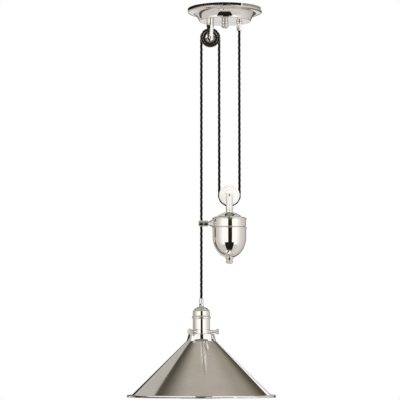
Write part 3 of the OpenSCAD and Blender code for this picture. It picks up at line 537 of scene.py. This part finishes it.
# %% Group and material: braid
def make_braid():
    """Two sets of slanting ridges in UV: the higher of the two sine waves is the thread on top."""
    tree, given, out = group(
        "braid",
        [("Threads round", "NodeSocketFloat", 8.0), ("Threads along", "NodeSocketFloat", 8.0)],
        [("Height", "NodeSocketFloat")],
    )
    uv = tree.nodes.new("ShaderNodeUVMap")
    uv.uv_map = "weave"
    split = tree.nodes.new("ShaderNodeSeparateXYZ")
    tree.links.new(uv.outputs[0], split.inputs[0])
    u = math_node(tree, "MULTIPLY", split.outputs[0], given.outputs["Threads round"])
    v = math_node(tree, "MULTIPLY", split.outputs[1], given.outputs["Threads along"])
    waves = []
    for operation in ("ADD", "SUBTRACT"):
        slant = math_node(tree, operation, u, v)
        waves.append(math_node(tree, "SINE", math_node(tree, "MULTIPLY", slant, 2 * math.pi)))
    tree.links.new(math_node(tree, "MAXIMUM", waves[0], waves[1]), out.inputs["Height"])
    return tree


def make_flex_material():
    """Black braided cotton, nearly black: its colour is a painted highlight, slightly grey, on the crowns of
    its threads and painted shade in the valleys between them, and it has a soft sheen.
    """
    made, tree, shader = material("braided_flex", (0.006, 0.006, 0.006), roughness=0.8,
                                  Specular_IOR_Level=0.12)
    braid = place_group(tree, make_braid(), Threads_round=8.0, Threads_along=8.0)
    # Painted highlight and shade: the colour is lighter on the crowns of the threads and darker in the valleys
    # between them.
    painted_crown_sheen = ramp(tree, braid.outputs["Height"], 0.2, 1.0)
    tree.links.new(mix_colour(tree, painted_crown_sheen, (0.002, 0.002, 0.002), (0.011, 0.010, 0.0095)),
                   shader.inputs["Base Color"])
    tree.links.new(ramp(tree, braid.outputs["Height"], 0.0, 1.0, 0.85, 0.62), shader.inputs["Roughness"])
    bump(tree, shader, braid.outputs["Height"], 0.0001, 0.7)
    return made


FLEX = make_flex_material()

# %% [markdown]
# The two half turns stay on their wheels, so they ride on the rose and on the counterweight. The three
# straight falls reach from one body to another; they stay where they are and are attached to no body.

GRIP_Z = span("cord_grip")[1]
BLENDS = {
    "flex_lamp_fall": ("lamp", LAMP_X, GRIP_Z),
    "flex_middle_fall": ("weight", MIDDLE_X, WEIGHT_Z),
    "flex_anchor_fall": ("weight", ANCHOR_X, WEIGHT_Z),
}
RIDES = {"flex_over_wheel": "root", "flex_under_wheel": "weight"}
travelled = 0.0
for stretch, (route, direction) in STRETCHES.items():
    before = travelled
    piece, travelled = strands_piece(stretch.replace("flex", "twisted_flex"), route, direction, before)
    piece.data.materials.append(FLEX)
    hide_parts(stretch)
    if stretch in BLENDS:
        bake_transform(piece)
    else:
        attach(piece, RIDES[stretch])
print("flex length in mm", round(travelled, 1), "strand radius", round(STRAND_RADIUS, 3))

# %% [markdown]
# ## The ceiling rose
# The rose is one spun sheet: a straight rim against the ceiling, a rounded lip, a cone and a flat face. The
# sheet has the same thickness everywhere, so the inner outline follows the outer one at that distance.


# %% Helper: finish a replacement piece
def stands_for(piece, body, finish, *nodes, slot="nickel"):
    """Gives a finished piece its material and body, and hides the nodes that it stands for."""
    piece.data.materials.clear()
    piece.data.materials.append(finish)
    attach(piece, body)
    if nodes:
        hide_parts(*nodes)
    return piece


# %% Rose cover
ROSE_R = span("rose_cover", 1)[1]
ROSE_FACE_Z = span("rose_cover")[0]
SHEET = 1.2
ROSE_LIP_R = 87.0
ROSE_RIM_Z = -8.0
ROSE_LIP_DROP = 5.0
ROSE_FACE_R = 71.5
ROSE_ROUND = 2.5
ROSE_COVE = 2.1


def rose_outline():
    """Outer surface from the rim to the middle, then the inner surface back, one sheet thickness inside."""
    lip_z = ROSE_RIM_Z - ROSE_LIP_DROP
    knee = np.array([ROSE_FACE_R, ROSE_FACE_Z + ROSE_ROUND])
    knee_inside = knee + (-SHEET, SHEET / 2)
    outer = joined(
        (ROSE_R, 0),
        arc(ROSE_LIP_R, ROSE_RIM_Z, ROSE_R - ROSE_LIP_R, ROSE_LIP_DROP, 0, -90, 28),
        bowed((ROSE_LIP_R - 0.6, lip_z), knee, -ROSE_COVE),
        arc(ROSE_FACE_R - ROSE_ROUND, knee[1], ROSE_ROUND, ROSE_ROUND, -15, -90, 12),
        (0, ROSE_FACE_Z),
    )
    inner = joined(
        (0, ROSE_FACE_Z + SHEET), (ROSE_FACE_R - ROSE_ROUND, ROSE_FACE_Z + SHEET),
        bowed(knee_inside, (ROSE_LIP_R - 0.6 - SHEET / 2, lip_z + SHEET), ROSE_COVE),
        arc(ROSE_LIP_R, ROSE_RIM_Z, ROSE_R - ROSE_LIP_R - SHEET, ROSE_LIP_DROP - SHEET, -90, 0, 16),
        (ROSE_R - SHEET, 0),
    )
    return outer, inner


outer, inner = rose_outline()
rose = turned("spun_rose", joined(outer[:-1], (0.01, ROSE_FACE_Z), (0.01, ROSE_FACE_Z + SHEET), inner[1:]),
              (0, 0, 0), columns=256, ease=0.3)
stands_for(rose, "root", NICKEL_ROSE, "rose_cover")

# %% Rose finial
FINIAL_TOP = span("rose_finial")[1]
finial_outline = joined(
    (0, FINIAL_TOP), (8.2, FINIAL_TOP),
    arc(7.2, FINIAL_TOP - 3.6, 2.8, 3.2, 75, -75, 12),
    (7.2, FINIAL_TOP - 8.2),
    arc(6.6, FINIAL_TOP - 12.4, 3.6, 3.6, 60, -30, 10),
    arc(0, FINIAL_TOP - 13.4, 9, 6.2, -20, -90, 12),
)
finial = turned("turned_finial", finial_outline, (0, 0, 0), ease=0.2, solid=True)
stands_for(finial, "finial", NICKEL_ROSE, "rose_finial")

# %% Anchor gland
GLAND_BORE = FLEX_RADIUS + 0.2
GLAND_END = span("anchor_gland")[0]
gland_outline = joined(
    (GLAND_BORE, ROSE_FACE_Z + 2), (7.6, ROSE_FACE_Z), (7.0, ROSE_FACE_Z),
    arc(7.0, ROSE_FACE_Z - 3.1, 1.6, 3.1, 80, -80, 12),
    (6.8, ROSE_FACE_Z - 6.6), (6.8, GLAND_END + 1), (5.8, GLAND_END), (GLAND_BORE + 0.3, GLAND_END),
    (GLAND_BORE, GLAND_END + 0.6),
)
gland = turned("turned_gland", gland_outline, (ANCHOR_X, 0, 0), columns=96, ease=0.25)
stands_for(gland, "root", NICKEL_ANCHOR, "anchor_gland")

# %% [markdown]
# ## The wheels
# Each wheel is a turned disc with a groove for the flex. Its face has a raised rim, a sunk web and a boss,
# which show in the photograph as rings. The outline runs over the face, round the groove and back.


# %% Wheels
def wheel_outline(pitch, flange, dish=0.0):
    """Half the face, the round groove, and the same half mirrored; heights run along the axle."""
    half = (span("ceiling_wheel", 1)[1] - span("ceiling_wheel", 1)[0]) / 2
    groove = FLEX_RADIUS + 0.2
    face = joined(
        (4.5, half - 0.4), (8.6, half - 0.4), (9.2, half - 0.9 - dish), (pitch * 0.55 - 0.5, half - 0.9),
        (pitch * 0.55 - 0.45, half - 1.4), (pitch * 0.83 - 0.05, half - 1.4), (pitch * 0.83, half),
        (flange - 0.2, half), (flange, half - 0.2), (flange, groove),
    )
    back = face[::-1] * (1, -1)
    return joined(face, arc(pitch, 0, groove, groove, 90, 270, 20), back)


CEILING_FLANGE = (span("ceiling_wheel", 0)[1] - span("ceiling_wheel", 0)[0]) / 2
WEIGHT_FLANGE = (span("weight_wheel", 0)[1] - span("weight_wheel", 0)[0]) / 2
upper_wheel = turned("grooved_ceiling_wheel", wheel_outline(CEILING_PITCH, CEILING_FLANGE, 0.25),
                     CEILING_WHEEL, axis="y", columns=160, ease=0.18)
stands_for(upper_wheel, "ceiling_wheel", NICKEL_FORK, "ceiling_wheel")
lower_wheel = turned("grooved_weight_wheel", wheel_outline(WEIGHT_PITCH, WEIGHT_FLANGE), WEIGHT_WHEEL,
                     axis="y", columns=160, ease=0.18)
stands_for(lower_wheel, "weight_wheel", NICKEL_WEIGHT, "weight_wheel")

# %% [markdown]
# ## The counterweight
# A domed lid, a plain band and an acorn-shaped cup, each spun, with a bead at each joint. A turned knob
# closes the cup from below.

# %% Lid, band, cup and knob
WALL = 1.6
BAND_R = (span("weight_band", 1)[1] - span("weight_band", 1)[0]) / 2
LID_Z, LID_TOP = span("weight_lid")
JOINT_Z = span("weight_cup")[1]
CUP_FOOT_Z = span("weight_cup")[0]
CUP_R = 46.0
CROWN_R = 11.0
ROD_HOLE_R = 4.1
BEAD = 6.0
BOWL_Z = -629.0
BOWL_H = 60.0
FOOT_R = 11.4
KNOB_NECK_R, KNOB_NECK_Z, KNOB_FOOT_Z = 7.5, -695.3, -700.0
AXIS_W = (WEIGHT_WHEEL.x, 0, 0)


def lid_outline():
    """A dome that falls half by a straight line and half by a cosine, a bead, and the same inside."""
    def fall(r):
        share = (r - CROWN_R) / (BAND_R - CROWN_R)
        return (LID_TOP - LID_Z - BEAD) * (share + (1 - np.cos(np.pi * share)) / 2) / 2

    r = np.linspace(CROWN_R, BAND_R, 28)
    inside = np.linspace(BAND_R - WALL, CROWN_R, 20)
    return joined(
        (ROD_HOLE_R, LID_TOP), np.column_stack([r, LID_TOP - fall(r)]),
        arc(BAND_R, LID_Z + BEAD / 2, 2, 2, 90, -90, 14), (BAND_R, LID_Z), (BAND_R - WALL, LID_Z),
        np.column_stack([inside, LID_TOP - WALL - fall(inside)]), (ROD_HOLE_R, LID_TOP - WALL),
    )


def cup_outline():
    """A bead at the joint, a straight wall, and half an ellipse down to the foot; the inside follows it."""
    bead_z = JOINT_Z - 2.4
    inner_r, inner_h = CUP_R - WALL, BOWL_H - WALL
    return joined(
        (CUP_R - 0.5, JOINT_Z), arc(CUP_R, bead_z, 1.6, 1.6, 90, -90, 14),
        arc(0, BOWL_Z, CUP_R, BOWL_H, 0, -math.degrees(math.acos(FOOT_R / CUP_R)), 48),
        (ROD_HOLE_R, CUP_FOOT_Z), (ROD_HOLE_R, CUP_FOOT_Z + WALL),
        arc(0, BOWL_Z, inner_r, inner_h, -math.degrees(math.acos(FOOT_R / inner_r)), 0, 40),
        (inner_r, JOINT_Z),
    )


lid = turned("domed_lid", lid_outline(), AXIS_W, columns=192, ease=0.3)
stands_for(lid, "weight", NICKEL_WEIGHT, "weight_lid")
band_outline = joined((BAND_R, LID_Z), (BAND_R, JOINT_Z), (BAND_R - WALL, JOINT_Z), (BAND_R - WALL, LID_Z))
band = turned("plain_band", band_outline, AXIS_W, columns=192, ease=0.15)
stands_for(band, "weight", NICKEL_WEIGHT, "weight_band")
cup = turned("acorn_cup", cup_outline(), AXIS_W, columns=192, ease=0.3)
stands_for(cup, "weight", NICKEL_WEIGHT, "weight_cup")

knob_outline = joined(
    (0, CUP_FOOT_Z), (FOOT_R - 0.6, CUP_FOOT_Z), (FOOT_R, CUP_FOOT_Z - 0.6), (FOOT_R, CUP_FOOT_Z - 1.6),
    (KNOB_NECK_R, KNOB_NECK_Z), arc(6.6, KNOB_NECK_Z - 4.4, 3.6, 3.9, 70, -20, 12),
    arc(0, KNOB_FOOT_Z, 9.8, 4.8, -25, -90, 12),
)
knob = turned("turned_knob", knob_outline, AXIS_W, columns=96, ease=0.2, solid=True)
stands_for(knob, "weight_knob", NICKEL_WEIGHT, "weight_knob")
print("counterweight from", LID_TOP, "down to", round(KNOB_FOOT_Z - 4.8, 1))

# %% [markdown]
# ## The lampholder
# The cap is turned with a flare, a dome and a shoulder. The skirt has a bead at its top and slips down into
# the gallery. Inside are the porcelain body and the brass thread that a bulb screws into.

# %% Grip, cap and skirt
AXIS_L = (LAMP_X, 0, 0)
HOLDER_R = 23.5
HOLDER_WALL = 1.2
GRIP_R = (span("cord_grip", 1)[1] - span("cord_grip", 1)[0]) / 2
GRIP_END = span("holder_cap")[1]
CAP_END, SKIRT_END = span("holder_cap")[0], span("holder_skirt")[0]
CAP_NUT_Z = GRIP_END - 9.5
CAP_FLARE_Z = -818.4
CAP_DOME_R, CAP_DOME_Z = 8.6, -830.0
CAP_SHOULDER, CAP_WALL_Z = 3.8, -834.5
grip_outline = joined(
    (FLEX_RADIUS + 0.2, GRIP_Z - 0.4), (FLEX_RADIUS + 0.6, GRIP_Z),
    (GRIP_R - 0.8, GRIP_Z), (GRIP_R, GRIP_Z - 0.8), (GRIP_R, GRIP_END + 2.2), (GRIP_R - 0.5, GRIP_END + 1.8),
    (GRIP_R - 0.5, GRIP_END + 1.2), (GRIP_R, GRIP_END + 0.8), (GRIP_R, GRIP_END),
    (5, GRIP_END), (5, GRIP_END - 15), (FLEX_RADIUS + 0.2, GRIP_END - 15),
)
grip = turned("turned_grip", grip_outline, AXIS_L, columns=96, ease=0.2)
stands_for(grip, "lamp", NICKEL_LAMP, "cord_grip")

cap_outline = joined(
    (5.05, GRIP_END), (GRIP_R + 0.1, GRIP_END), arc(11.4, CAP_FLARE_Z, 5.2, 4.6, 170, 240, 12),
    arc(CAP_DOME_R, CAP_DOME_Z, 10.9, 7.2, 75, 0, 18),
    arc(HOLDER_R - CAP_SHOULDER, CAP_WALL_Z, CAP_SHOULDER, 4, 88, 0, 14),
    (HOLDER_R, CAP_END), (HOLDER_R - HOLDER_WALL, CAP_END),
    arc(HOLDER_R - CAP_SHOULDER, CAP_WALL_Z, CAP_SHOULDER - HOLDER_WALL, 2.8, 0, 80, 8),
    arc(CAP_DOME_R, CAP_DOME_Z - 1.4, 9.7, 6, 0, 80, 10), (8, CAP_NUT_Z), (5.05, CAP_NUT_Z),
)
cap = turned("turned_cap", cap_outline, AXIS_L, columns=160, ease=0.15)
stands_for(cap, "lamp", NICKEL_LAMP, "holder_cap")

SKIRT_IN = HOLDER_R - HOLDER_WALL
skirt_outline = joined(
    (SKIRT_IN - 1.2, CAP_END + 6), (SKIRT_IN - 0.05, CAP_END + 6), (SKIRT_IN - 0.05, CAP_END),
    (HOLDER_R, CAP_END),
    (HOLDER_R + 0.8, CAP_END - 0.6), arc(23.6, CAP_END - 4.5, 2.4, 3.2, 80, -80, 16),
    (HOLDER_R + 0.8, CAP_END - 8.4), (HOLDER_R, CAP_END - 9), (HOLDER_R, SKIRT_END), (SKIRT_IN, SKIRT_END),
    (SKIRT_IN, CAP_END - 3), (SKIRT_IN - 1.2, CAP_END - 3),
)
skirt = turned("beaded_skirt", skirt_outline, AXIS_L, columns=160, ease=0.2)
stands_for(skirt, "lamp", NICKEL_LAMP, "holder_skirt")

# %% [markdown]
# The screw shell is sheet brass rolled into a rounded thread. Its radius rises and falls as a cosine of the
# height, and turning by one circle shifts that wave by one pitch, which makes it a true helix.

# %% Screw shell
SHELL_Z0, SHELL_Z1 = span("screw_shell")
THREAD_PITCH = 3.62


def shell_grid(radius, columns=120, rows=90):
    """Radius plus a cosine of height over pitch minus the turn, faded out at both ends of the shell."""
    z = np.linspace(SHELL_Z0, SHELL_Z1, rows)[:, None]
    a = np.linspace(0, 2 * np.pi, columns, endpoint=False)[None, :]
    fade = np.clip(np.minimum(z - SHELL_Z0, SHELL_Z1 - z) / 3, 0, 1)
    r = radius - 0.35 * fade * (1 - np.cos(2 * np.pi * z / THREAD_PITCH - a)) / 2
    return np.stack([LAMP_X + r * np.cos(a), r * np.sin(a), np.broadcast_to(z, r.shape)], axis=-1)


shell_points = np.concatenate([shell_grid(13.8), shell_grid(13.45)[::-1]])
shell = polish(mesh_from_grid("rolled_thread", shell_points, wrap_rows=True), 60)
stands_for(shell, "lamp", BRASS, "screw_shell", slot="brass")

# %% [markdown]
# ## The shade
# The shade is spun from one sheet: a flat ring under the gallery, a straight cone, and a narrow foot whose
# rim is turned down and closed over a wire. The rim's outer face is a little barrel-shaped, so it mirrors the
# white wall above and a dark line below. The sheet is thin, so its edge shows only at the neck.

# %% Shade
SHADE_TOP = span("shade")[1]
RIM_R = (span("shade", 1)[1] - span("shade", 1)[0]) / 2
SHADE_T = 0.7
NECK_R = 29.3
RIM_T = 3.4
RIM_RADII, RIM_TURNS = (1, 20.2, 45.8, 1.2), (90, 16, 7.5, 5, -90)
CONE_TOP_R, CONE_FOOT_R, CONE_H = 41.0, 188.7, 145.5
FOOT_Z = SHADE_TOP - CONE_H


def chained(radii, turns, reach, top, count=10):
    """Arcs one after another, each tangent to the last, moved so that they reach the radius and height."""
    centre, rows = np.array([0.0, top - radii[0]]), []
    for radius, following, start, end in zip(radii, (*radii[1:], radii[-1]), turns, turns[1:]):
        rows.append(arc(*centre, radius, radius, start, end, count)[0 if not rows else 1:])
        angle = np.radians(end)
        centre = centre + (radius - following) * np.array([np.cos(angle), np.sin(angle)])
    rows = np.concatenate(rows)
    return rows + np.array([reach - rows[:, 0].max(), 0])


def shade_outline():
    """Ring, cone and foot outside, the rim's outer face and its inner one, and the same sheet back inside."""
    rim = chained(RIM_RADII, RIM_TURNS, RIM_R, FOOT_Z)
    return joined(
        (NECK_R, SHADE_TOP), (CONE_TOP_R, SHADE_TOP), (CONE_FOOT_R, FOOT_Z), rim,
        (rim[-1][0] - 1, rim[-1][1]), (RIM_R - RIM_T, rim[-1][1] + 1.2), (RIM_R - RIM_T, FOOT_Z - SHADE_T),
        (CONE_FOOT_R - SHADE_T * 0.4, FOOT_Z - SHADE_T), (CONE_FOOT_R - SHADE_T * 1.42, FOOT_Z),
        (CONE_TOP_R - SHADE_T * 0.42, SHADE_TOP - SHADE_T), (NECK_R, SHADE_TOP - SHADE_T),
    )


shade = turned("spun_shade", shade_outline(), AXIS_L, columns=384, ease=0.5)
stands_for(shade, "lamp", NICKEL_SHADE, "shade")
print("shade rim radius", round(RIM_R, 2))

# %% [markdown]
# ## Thumbscrews
# Three screws through the gallery hold the lampholder. Each has a shank, a neck, a small barrel and a disc
# whose edge is knurled for grip: its radius follows a rounded wave that repeats round the edge.

# %% Thumbscrews
THUMB_Z = middle("thumbscrew_right").z
THUMB_TURNS = {"thumbscrew_right": -14, "thumbscrew_left": -134, "thumbscrew_back": 106}
KNURLS = 36


def thumbscrew_grid(turn, columns=216):
    """The outline swept about its own axis, with its disc's edge waved, and turned to its place."""
    outline = joined(
        (0, 23.52), (2, 23.52), (2, 33.3), (3, 33.3), (3, 35.6), (4.6, 36.2), (4.6, 42.8),
        (7.3, 42.8), (7.9, 43.4), (7.9, 46.5), (7.1, 47.3), (5.6, 47.3), (5.0, 46.8), (0, 46.8),
    )
    points = eased(outline, 0.2, closed=False)
    a = np.linspace(0, 2 * np.pi, columns, endpoint=False)[None, :]
    r, along = points[:, 0, None], points[:, 1, None]
    edge = np.clip((r - 7.0) / 0.6, 0, 1)
    r = r - 0.3 * edge * (0.5 + 0.5 * np.cos(KNURLS * a)) ** 2
    across, up = r * np.cos(a), r * np.sin(a)
    out = np.broadcast_to(along, across.shape)
    angle = math.radians(turn)
    x = LAMP_X + out * math.cos(angle) - across * math.sin(angle)
    y = out * math.sin(angle) + across * math.cos(angle)
    return np.stack([x, y, THUMB_Z + up], axis=-1)


for node, turn in THUMB_TURNS.items():
    screw = mesh_from_grid("knurled_" + node, thumbscrew_grid(turn), merge=0.001)
    stands_for(polish(screw), node, NICKEL_LAMP, node)

# %% [markdown]
# ## Carried-over pieces
# The forks, the guide arm and the gallery have slots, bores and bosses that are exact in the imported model.
# A copy of each mesh is merged, its sharp edges get a small bevel, and it takes the place of its node. The
# hidden pieces keep their own meshes and only get a finish.


# %% Helper: copy a node and bevel its edges
def refined(node, body, finish, width=0.2, slot="nickel"):
    """A merged copy of a node's mesh with bevelled edges, in place of the node."""
    source = frame["nodes"][node]
    mesh = source.data.copy()
    work = bmesh.new()
    work.from_mesh(mesh)
    bmesh.ops.remove_doubles(work, verts=work.verts, dist=1e-6)
    bmesh.ops.dissolve_limit(work, angle_limit=math.radians(0.4), verts=work.verts, edges=work.edges)
    work.to_mesh(mesh)
    work.free()
    piece = bpy.data.objects.new("finished_" + node, mesh)
    bpy.context.scene.collection.objects.link(piece)
    bevel = piece.modifiers.new("eased_edges", "BEVEL")
    bevel.width = width * MM
    bevel.segments = 2
    bevel.limit_method = "ANGLE"
    bevel.angle_limit = math.radians(35)
    bevel.harden_normals = False
    polish(piece, 40)
    return stands_for(piece, body, finish, node, slot=slot)


# %% Forks, arm and gallery
refined("ceiling_fork", "root", NICKEL_FORK)
refined("weight_fork", "weight", NICKEL_WEIGHT)
refined("guide_arm", "weight", NICKEL_WEIGHT)
refined("gallery", "lamp", NICKEL_LAMP)
refined("shade_ring", "lamp", NICKEL_LAMP)
for node in ("ceiling_axle", "ceiling_axle_nut", "anchor_grub_screw"):
    refined(node, "root", NICKEL_FORK, width=0.1, slot="steel")
for node in ("weight_axle", "weight_axle_nut", "guide_bush"):
    refined(node, "weight", NICKEL_WEIGHT, width=0.1, slot="steel")
refined("grip_screw", "lamp", NICKEL_LAMP, width=0.1, slot="steel")

# %% Finishes of the hidden pieces
FINISH = {"nickel": NICKEL_ROSE, "steel": STEEL, "brass": BRASS, "iron": IRON, "ceramic": PORCELAIN,
          "connector": PLASTIC, "flex": FLEX, "cores": CORE}
slot_of = {row["node"]: row["material_slot"] for row in frame["record"]["subparts"]}
kept = 0
for node, piece in frame["nodes"].items():
    piece.data.materials.clear()
    piece.data.materials.append(FINISH[slot_of[node]])
    if not piece.hide_render:
        polish(piece, 35)
        kept += 1
print("nodes that keep their own mesh", kept)

# %% [markdown]
# ## Light and surroundings
# Polished metal shows its surroundings, so they are half of its look. The lamp was photographed in a white
# studio: the cylinders mirror pale walls with one narrow dark gap in front, where the camera stands, and the
# rim of the rose mirrors a dark band above that gap. The cone mirrors the grey-brown ceiling, and on its left
# a paler wall that ends in a sharp, slanted edge. Two light patches far behind brighten the counterweight's
# dome. The world holds all of these as soft-edged fields of azimuth and elevation. The camera sees plain
# white, and what isn't glossy is lit by an even soft white.


# %% World
def window(tree, value, low, high, low_edge, high_edge):
    """One between low and high; each edge is as wide as its number says."""
    rise = ramp(tree, value, low - low_edge / 2, low + low_edge / 2)
    fall = ramp(tree, value, high - high_edge / 2, high + high_edge / 2, 1.0, 0.0)
    return math_node(tree, "MULTIPLY", rise, fall)


# Each field: azimuths, their edge, elevations, their lower and upper edge, and the colour, all in degrees.
# Azimuth 0 faces the camera and positive azimuths lie to the right; a later field covers an earlier one. Two
# more numbers slant a field: it starts where the elevation less the first times the azimuth is the second.
GAP = (0.016, 0.013, 0.009)
PALE = (0.74, 0.725, 0.72)
DOME_LIGHT = (0.62, 0.60, 0.56)
FIELDS = [
    # The ground, the left wall, and the right wall, which is darker behind
    ((-200, 200), 1, (-95, -30), 1, 14, (0.66, 0.615, 0.577)),
    ((-240, -70), 50, (-95, 9), 1, 4, (0.63, 0.595, 0.565)),
    ((72, 230), 44, (-95, 9), 1, 4, (0.70, 0.669, 0.645)),
    ((120, 230), 60, (-95, 9), 1, 4, (0.53, 0.495, 0.465)),
    # Dark gaps between the walls, which draw the edges of the counterweight
    ((-140, -124), 4, (-60, -7), 8, 3, (0.10, 0.085, 0.065)),
    ((-124, -107), 4, (0, 8), 2, 1, (0.15, 0.13, 0.105)),
    ((150, 165), 3, (-30, 4), 4, 2, (0.06, 0.05, 0.037)),
    ((154, 171), 2, (-45, -5), 2, 3, (0.15, 0.125, 0.09)),
    # The far end of the room: dark at eye level and pale below
    ((-200, -152), 6, (-7, 7.5), 1, 1, (0.22, 0.21, 0.17)),
    ((152, 200), 6, (-7, 7.5), 1, 1, (0.15, 0.125, 0.09)),
    ((-200, -170), 4, (-20, -7), 4, 1, PALE),
    ((170, 200), 4, (-20, -7), 4, 1, PALE),
    # The grey-brown ceiling, lighter towards the top
    ((-200, 200), 1, (18.5, 95), 1.5, 1, (0.085, 0.073, 0.05)),
    ((-200, 200), 1, (37, 95), 26, 1, (0.33, 0.30, 0.245)),
    ((-200, 200), 1, (62, 95), 26, 1, (0.45, 0.413, 0.365)),
    # On the left: a dark ledge, the paler wall above it, and the slanted edge where the ceiling begins again
    ((-200, -90), 3, (6, 13), 1, 1, (0.03, 0.026, 0.02)),
    ((-177, -95), 3, (13, 51.5), 1, 0.8, (0.50, 0.48, 0.44)),
    ((-200, -60), 10, (20, 63), 1, 34, (0.058, 0.051, 0.038), 0.5, 112.9),
    # Light patches behind, for the dome of the counterweight
    ((-200, -166), 4, (27, 80), 3, 12, DOME_LIGHT),
    ((166, 200), 4, (27, 80), 3, 12, DOME_LIGHT),
    # The white front of the studio
    ((-95, 95), 8, (5.2, 33), 0.4, 3, (1.08, 1.07, 1.05)),
    ((-52, 54), 16, (-32, 5.5), 8, 0.5, (1.10, 1.09, 1.06)),
    # The band that the rim of the rose mirrors: grey on the right, black elsewhere, and a second line below
    ((55, 150), 1, (10.42, 15), 0.15, 3, (0.30, 0.27, 0.22)),
    ((-168, 52), 1, (10.42, 15), 0.15, 3, (0.012, 0.010, 0.007)),
    ((-168, 2), 1.5, (6.0, 10.05), 0.15, 0.1, (0.016, 0.014, 0.010)),
    # The gap in front, where the camera stands: what is above it, the gap itself, and its wide foot
    ((-9, 8), 3, (13, 21), 1, 1, (0.26, 0.245, 0.19)),
    ((-5, 4.5), 1, (6.5, 16), 0.5, 0.5, (0.018, 0.016, 0.010)),
    ((-9.6, 17.5), 2, (22, 33), 1, 2, GAP),
    ((-9.6, 17.5), 2, (-26, 4.55), 1, 0.12, GAP),
    ((-37, 34), 2, (-67, -24), 14, 1.5, GAP),
]


def make_world():
    """White for the camera, plain soft light for matt surfaces, and the fields for glossy ones."""
    world = bpy.data.worlds.new("studio")
    world.use_nodes = True
    bpy.context.scene.world = world
    tree = world.node_tree
    tree.nodes.clear()
    place = tree.nodes.new("ShaderNodeTexCoord")
    split = tree.nodes.new("ShaderNodeSeparateXYZ")
    tree.links.new(place.outputs["Generated"], split.inputs[0])
    toward = math_node(tree, "MULTIPLY", split.outputs[1], -1.0)
    azimuth = math_node(tree, "DEGREES", math_node(tree, "ARCTAN2", split.outputs[0], toward))
    elevation = math_node(tree, "DEGREES", math_node(tree, "ARCSINE", split.outputs[2]))
    colour = (1.0, 1.0, 1.0)
    for azimuths, edge, elevations, low_edge, high_edge, tint, *slant in FIELDS:
        mask = math_node(tree, "MULTIPLY", window(tree, azimuth, *azimuths, edge, edge),
                         window(tree, elevation, *elevations, low_edge, high_edge))
        if slant:
            leaning = math_node(tree, "SUBTRACT", elevation, math_node(tree, "MULTIPLY", azimuth, slant[0]))
            mask = math_node(tree, "MULTIPLY", mask, ramp(tree, leaning, slant[1] - 0.4, slant[1] + 0.4))
        colour = mix_colour(tree, mask, colour, tint)
    light_path = tree.nodes.new("ShaderNodeLightPath")
    glossy = mix_colour(tree, light_path.outputs["Is Glossy Ray"], (0.85, 0.85, 0.86), colour)
    seen = mix_colour(tree, light_path.outputs["Is Camera Ray"], glossy, (1.0, 1.0, 1.0))
    background = tree.nodes.new("ShaderNodeBackground")
    tree.links.new(seen, background.inputs["Color"])
    output = tree.nodes.new("ShaderNodeOutputWorld")
    tree.links.new(background.outputs[0], output.inputs[0])


make_world()
print("fields in the world", len(FIELDS))


# %% Soft lamps and floor
def soft_lamp(name, place, aim, size, power):
    """A square area lamp that points at aim. Glossy rays don't see it: the world holds the reflections."""
    data = bpy.data.lights.new(name, "AREA")
    data.shape = "SQUARE"
    data.size = size
    data.energy = power
    lamp = bpy.data.objects.new(name, data)
    lamp.location = place
    lamp.rotation_euler = (Vector(aim) - Vector(place)).to_track_quat("-Z", "Y").to_euler()
    lamp.visible_glossy = False
    bpy.context.scene.collection.objects.link(lamp)


soft_lamp("key_lamp", (-2.2, -2.6, 0.6), (0, 0, -0.5), 1.6, 45)
soft_lamp("fill_lamp", (2.4, -1.8, -0.4), (0, 0, -0.6), 1.6, 18)

FLOOR_Z = -2.6
FLOOR_HALF = 9


def make_floor_paint():
    """Pale matt paint on top, and clear from below, so that it doesn't hide a lamp seen from there."""
    made, tree, shader = material("floor_paint", (0.86, 0.86, 0.85), roughness=0.9)
    side = tree.nodes.new("ShaderNodeNewGeometry")
    clear = tree.nodes.new("ShaderNodeBsdfTransparent")
    mixed = tree.nodes.new("ShaderNodeMixShader")
    tree.links.new(side.outputs["Backfacing"], mixed.inputs[0])
    tree.links.new(shader.outputs[0], mixed.inputs[1])
    tree.links.new(clear.outputs[0], mixed.inputs[2])
    tree.links.new(mixed.outputs[0], tree.nodes["Material Output"].inputs["Surface"])
    return made


floor_corners = [(x * FLOOR_HALF, y * FLOOR_HALF, FLOOR_Z) for x, y in ((-1, -1), (1, -1), (1, 1), (-1, 1))]
floor_mesh = bpy.data.meshes.new("floor")
floor_mesh.from_pydata(floor_corners, [], [(0, 1, 2, 3)])
floor = bpy.data.objects.new("floor", floor_mesh)
floor.data.materials.append(make_floor_paint())
floor.visible_glossy = False
bpy.context.scene.collection.objects.link(floor)

bpy.context.scene.view_settings.view_transform = "Standard"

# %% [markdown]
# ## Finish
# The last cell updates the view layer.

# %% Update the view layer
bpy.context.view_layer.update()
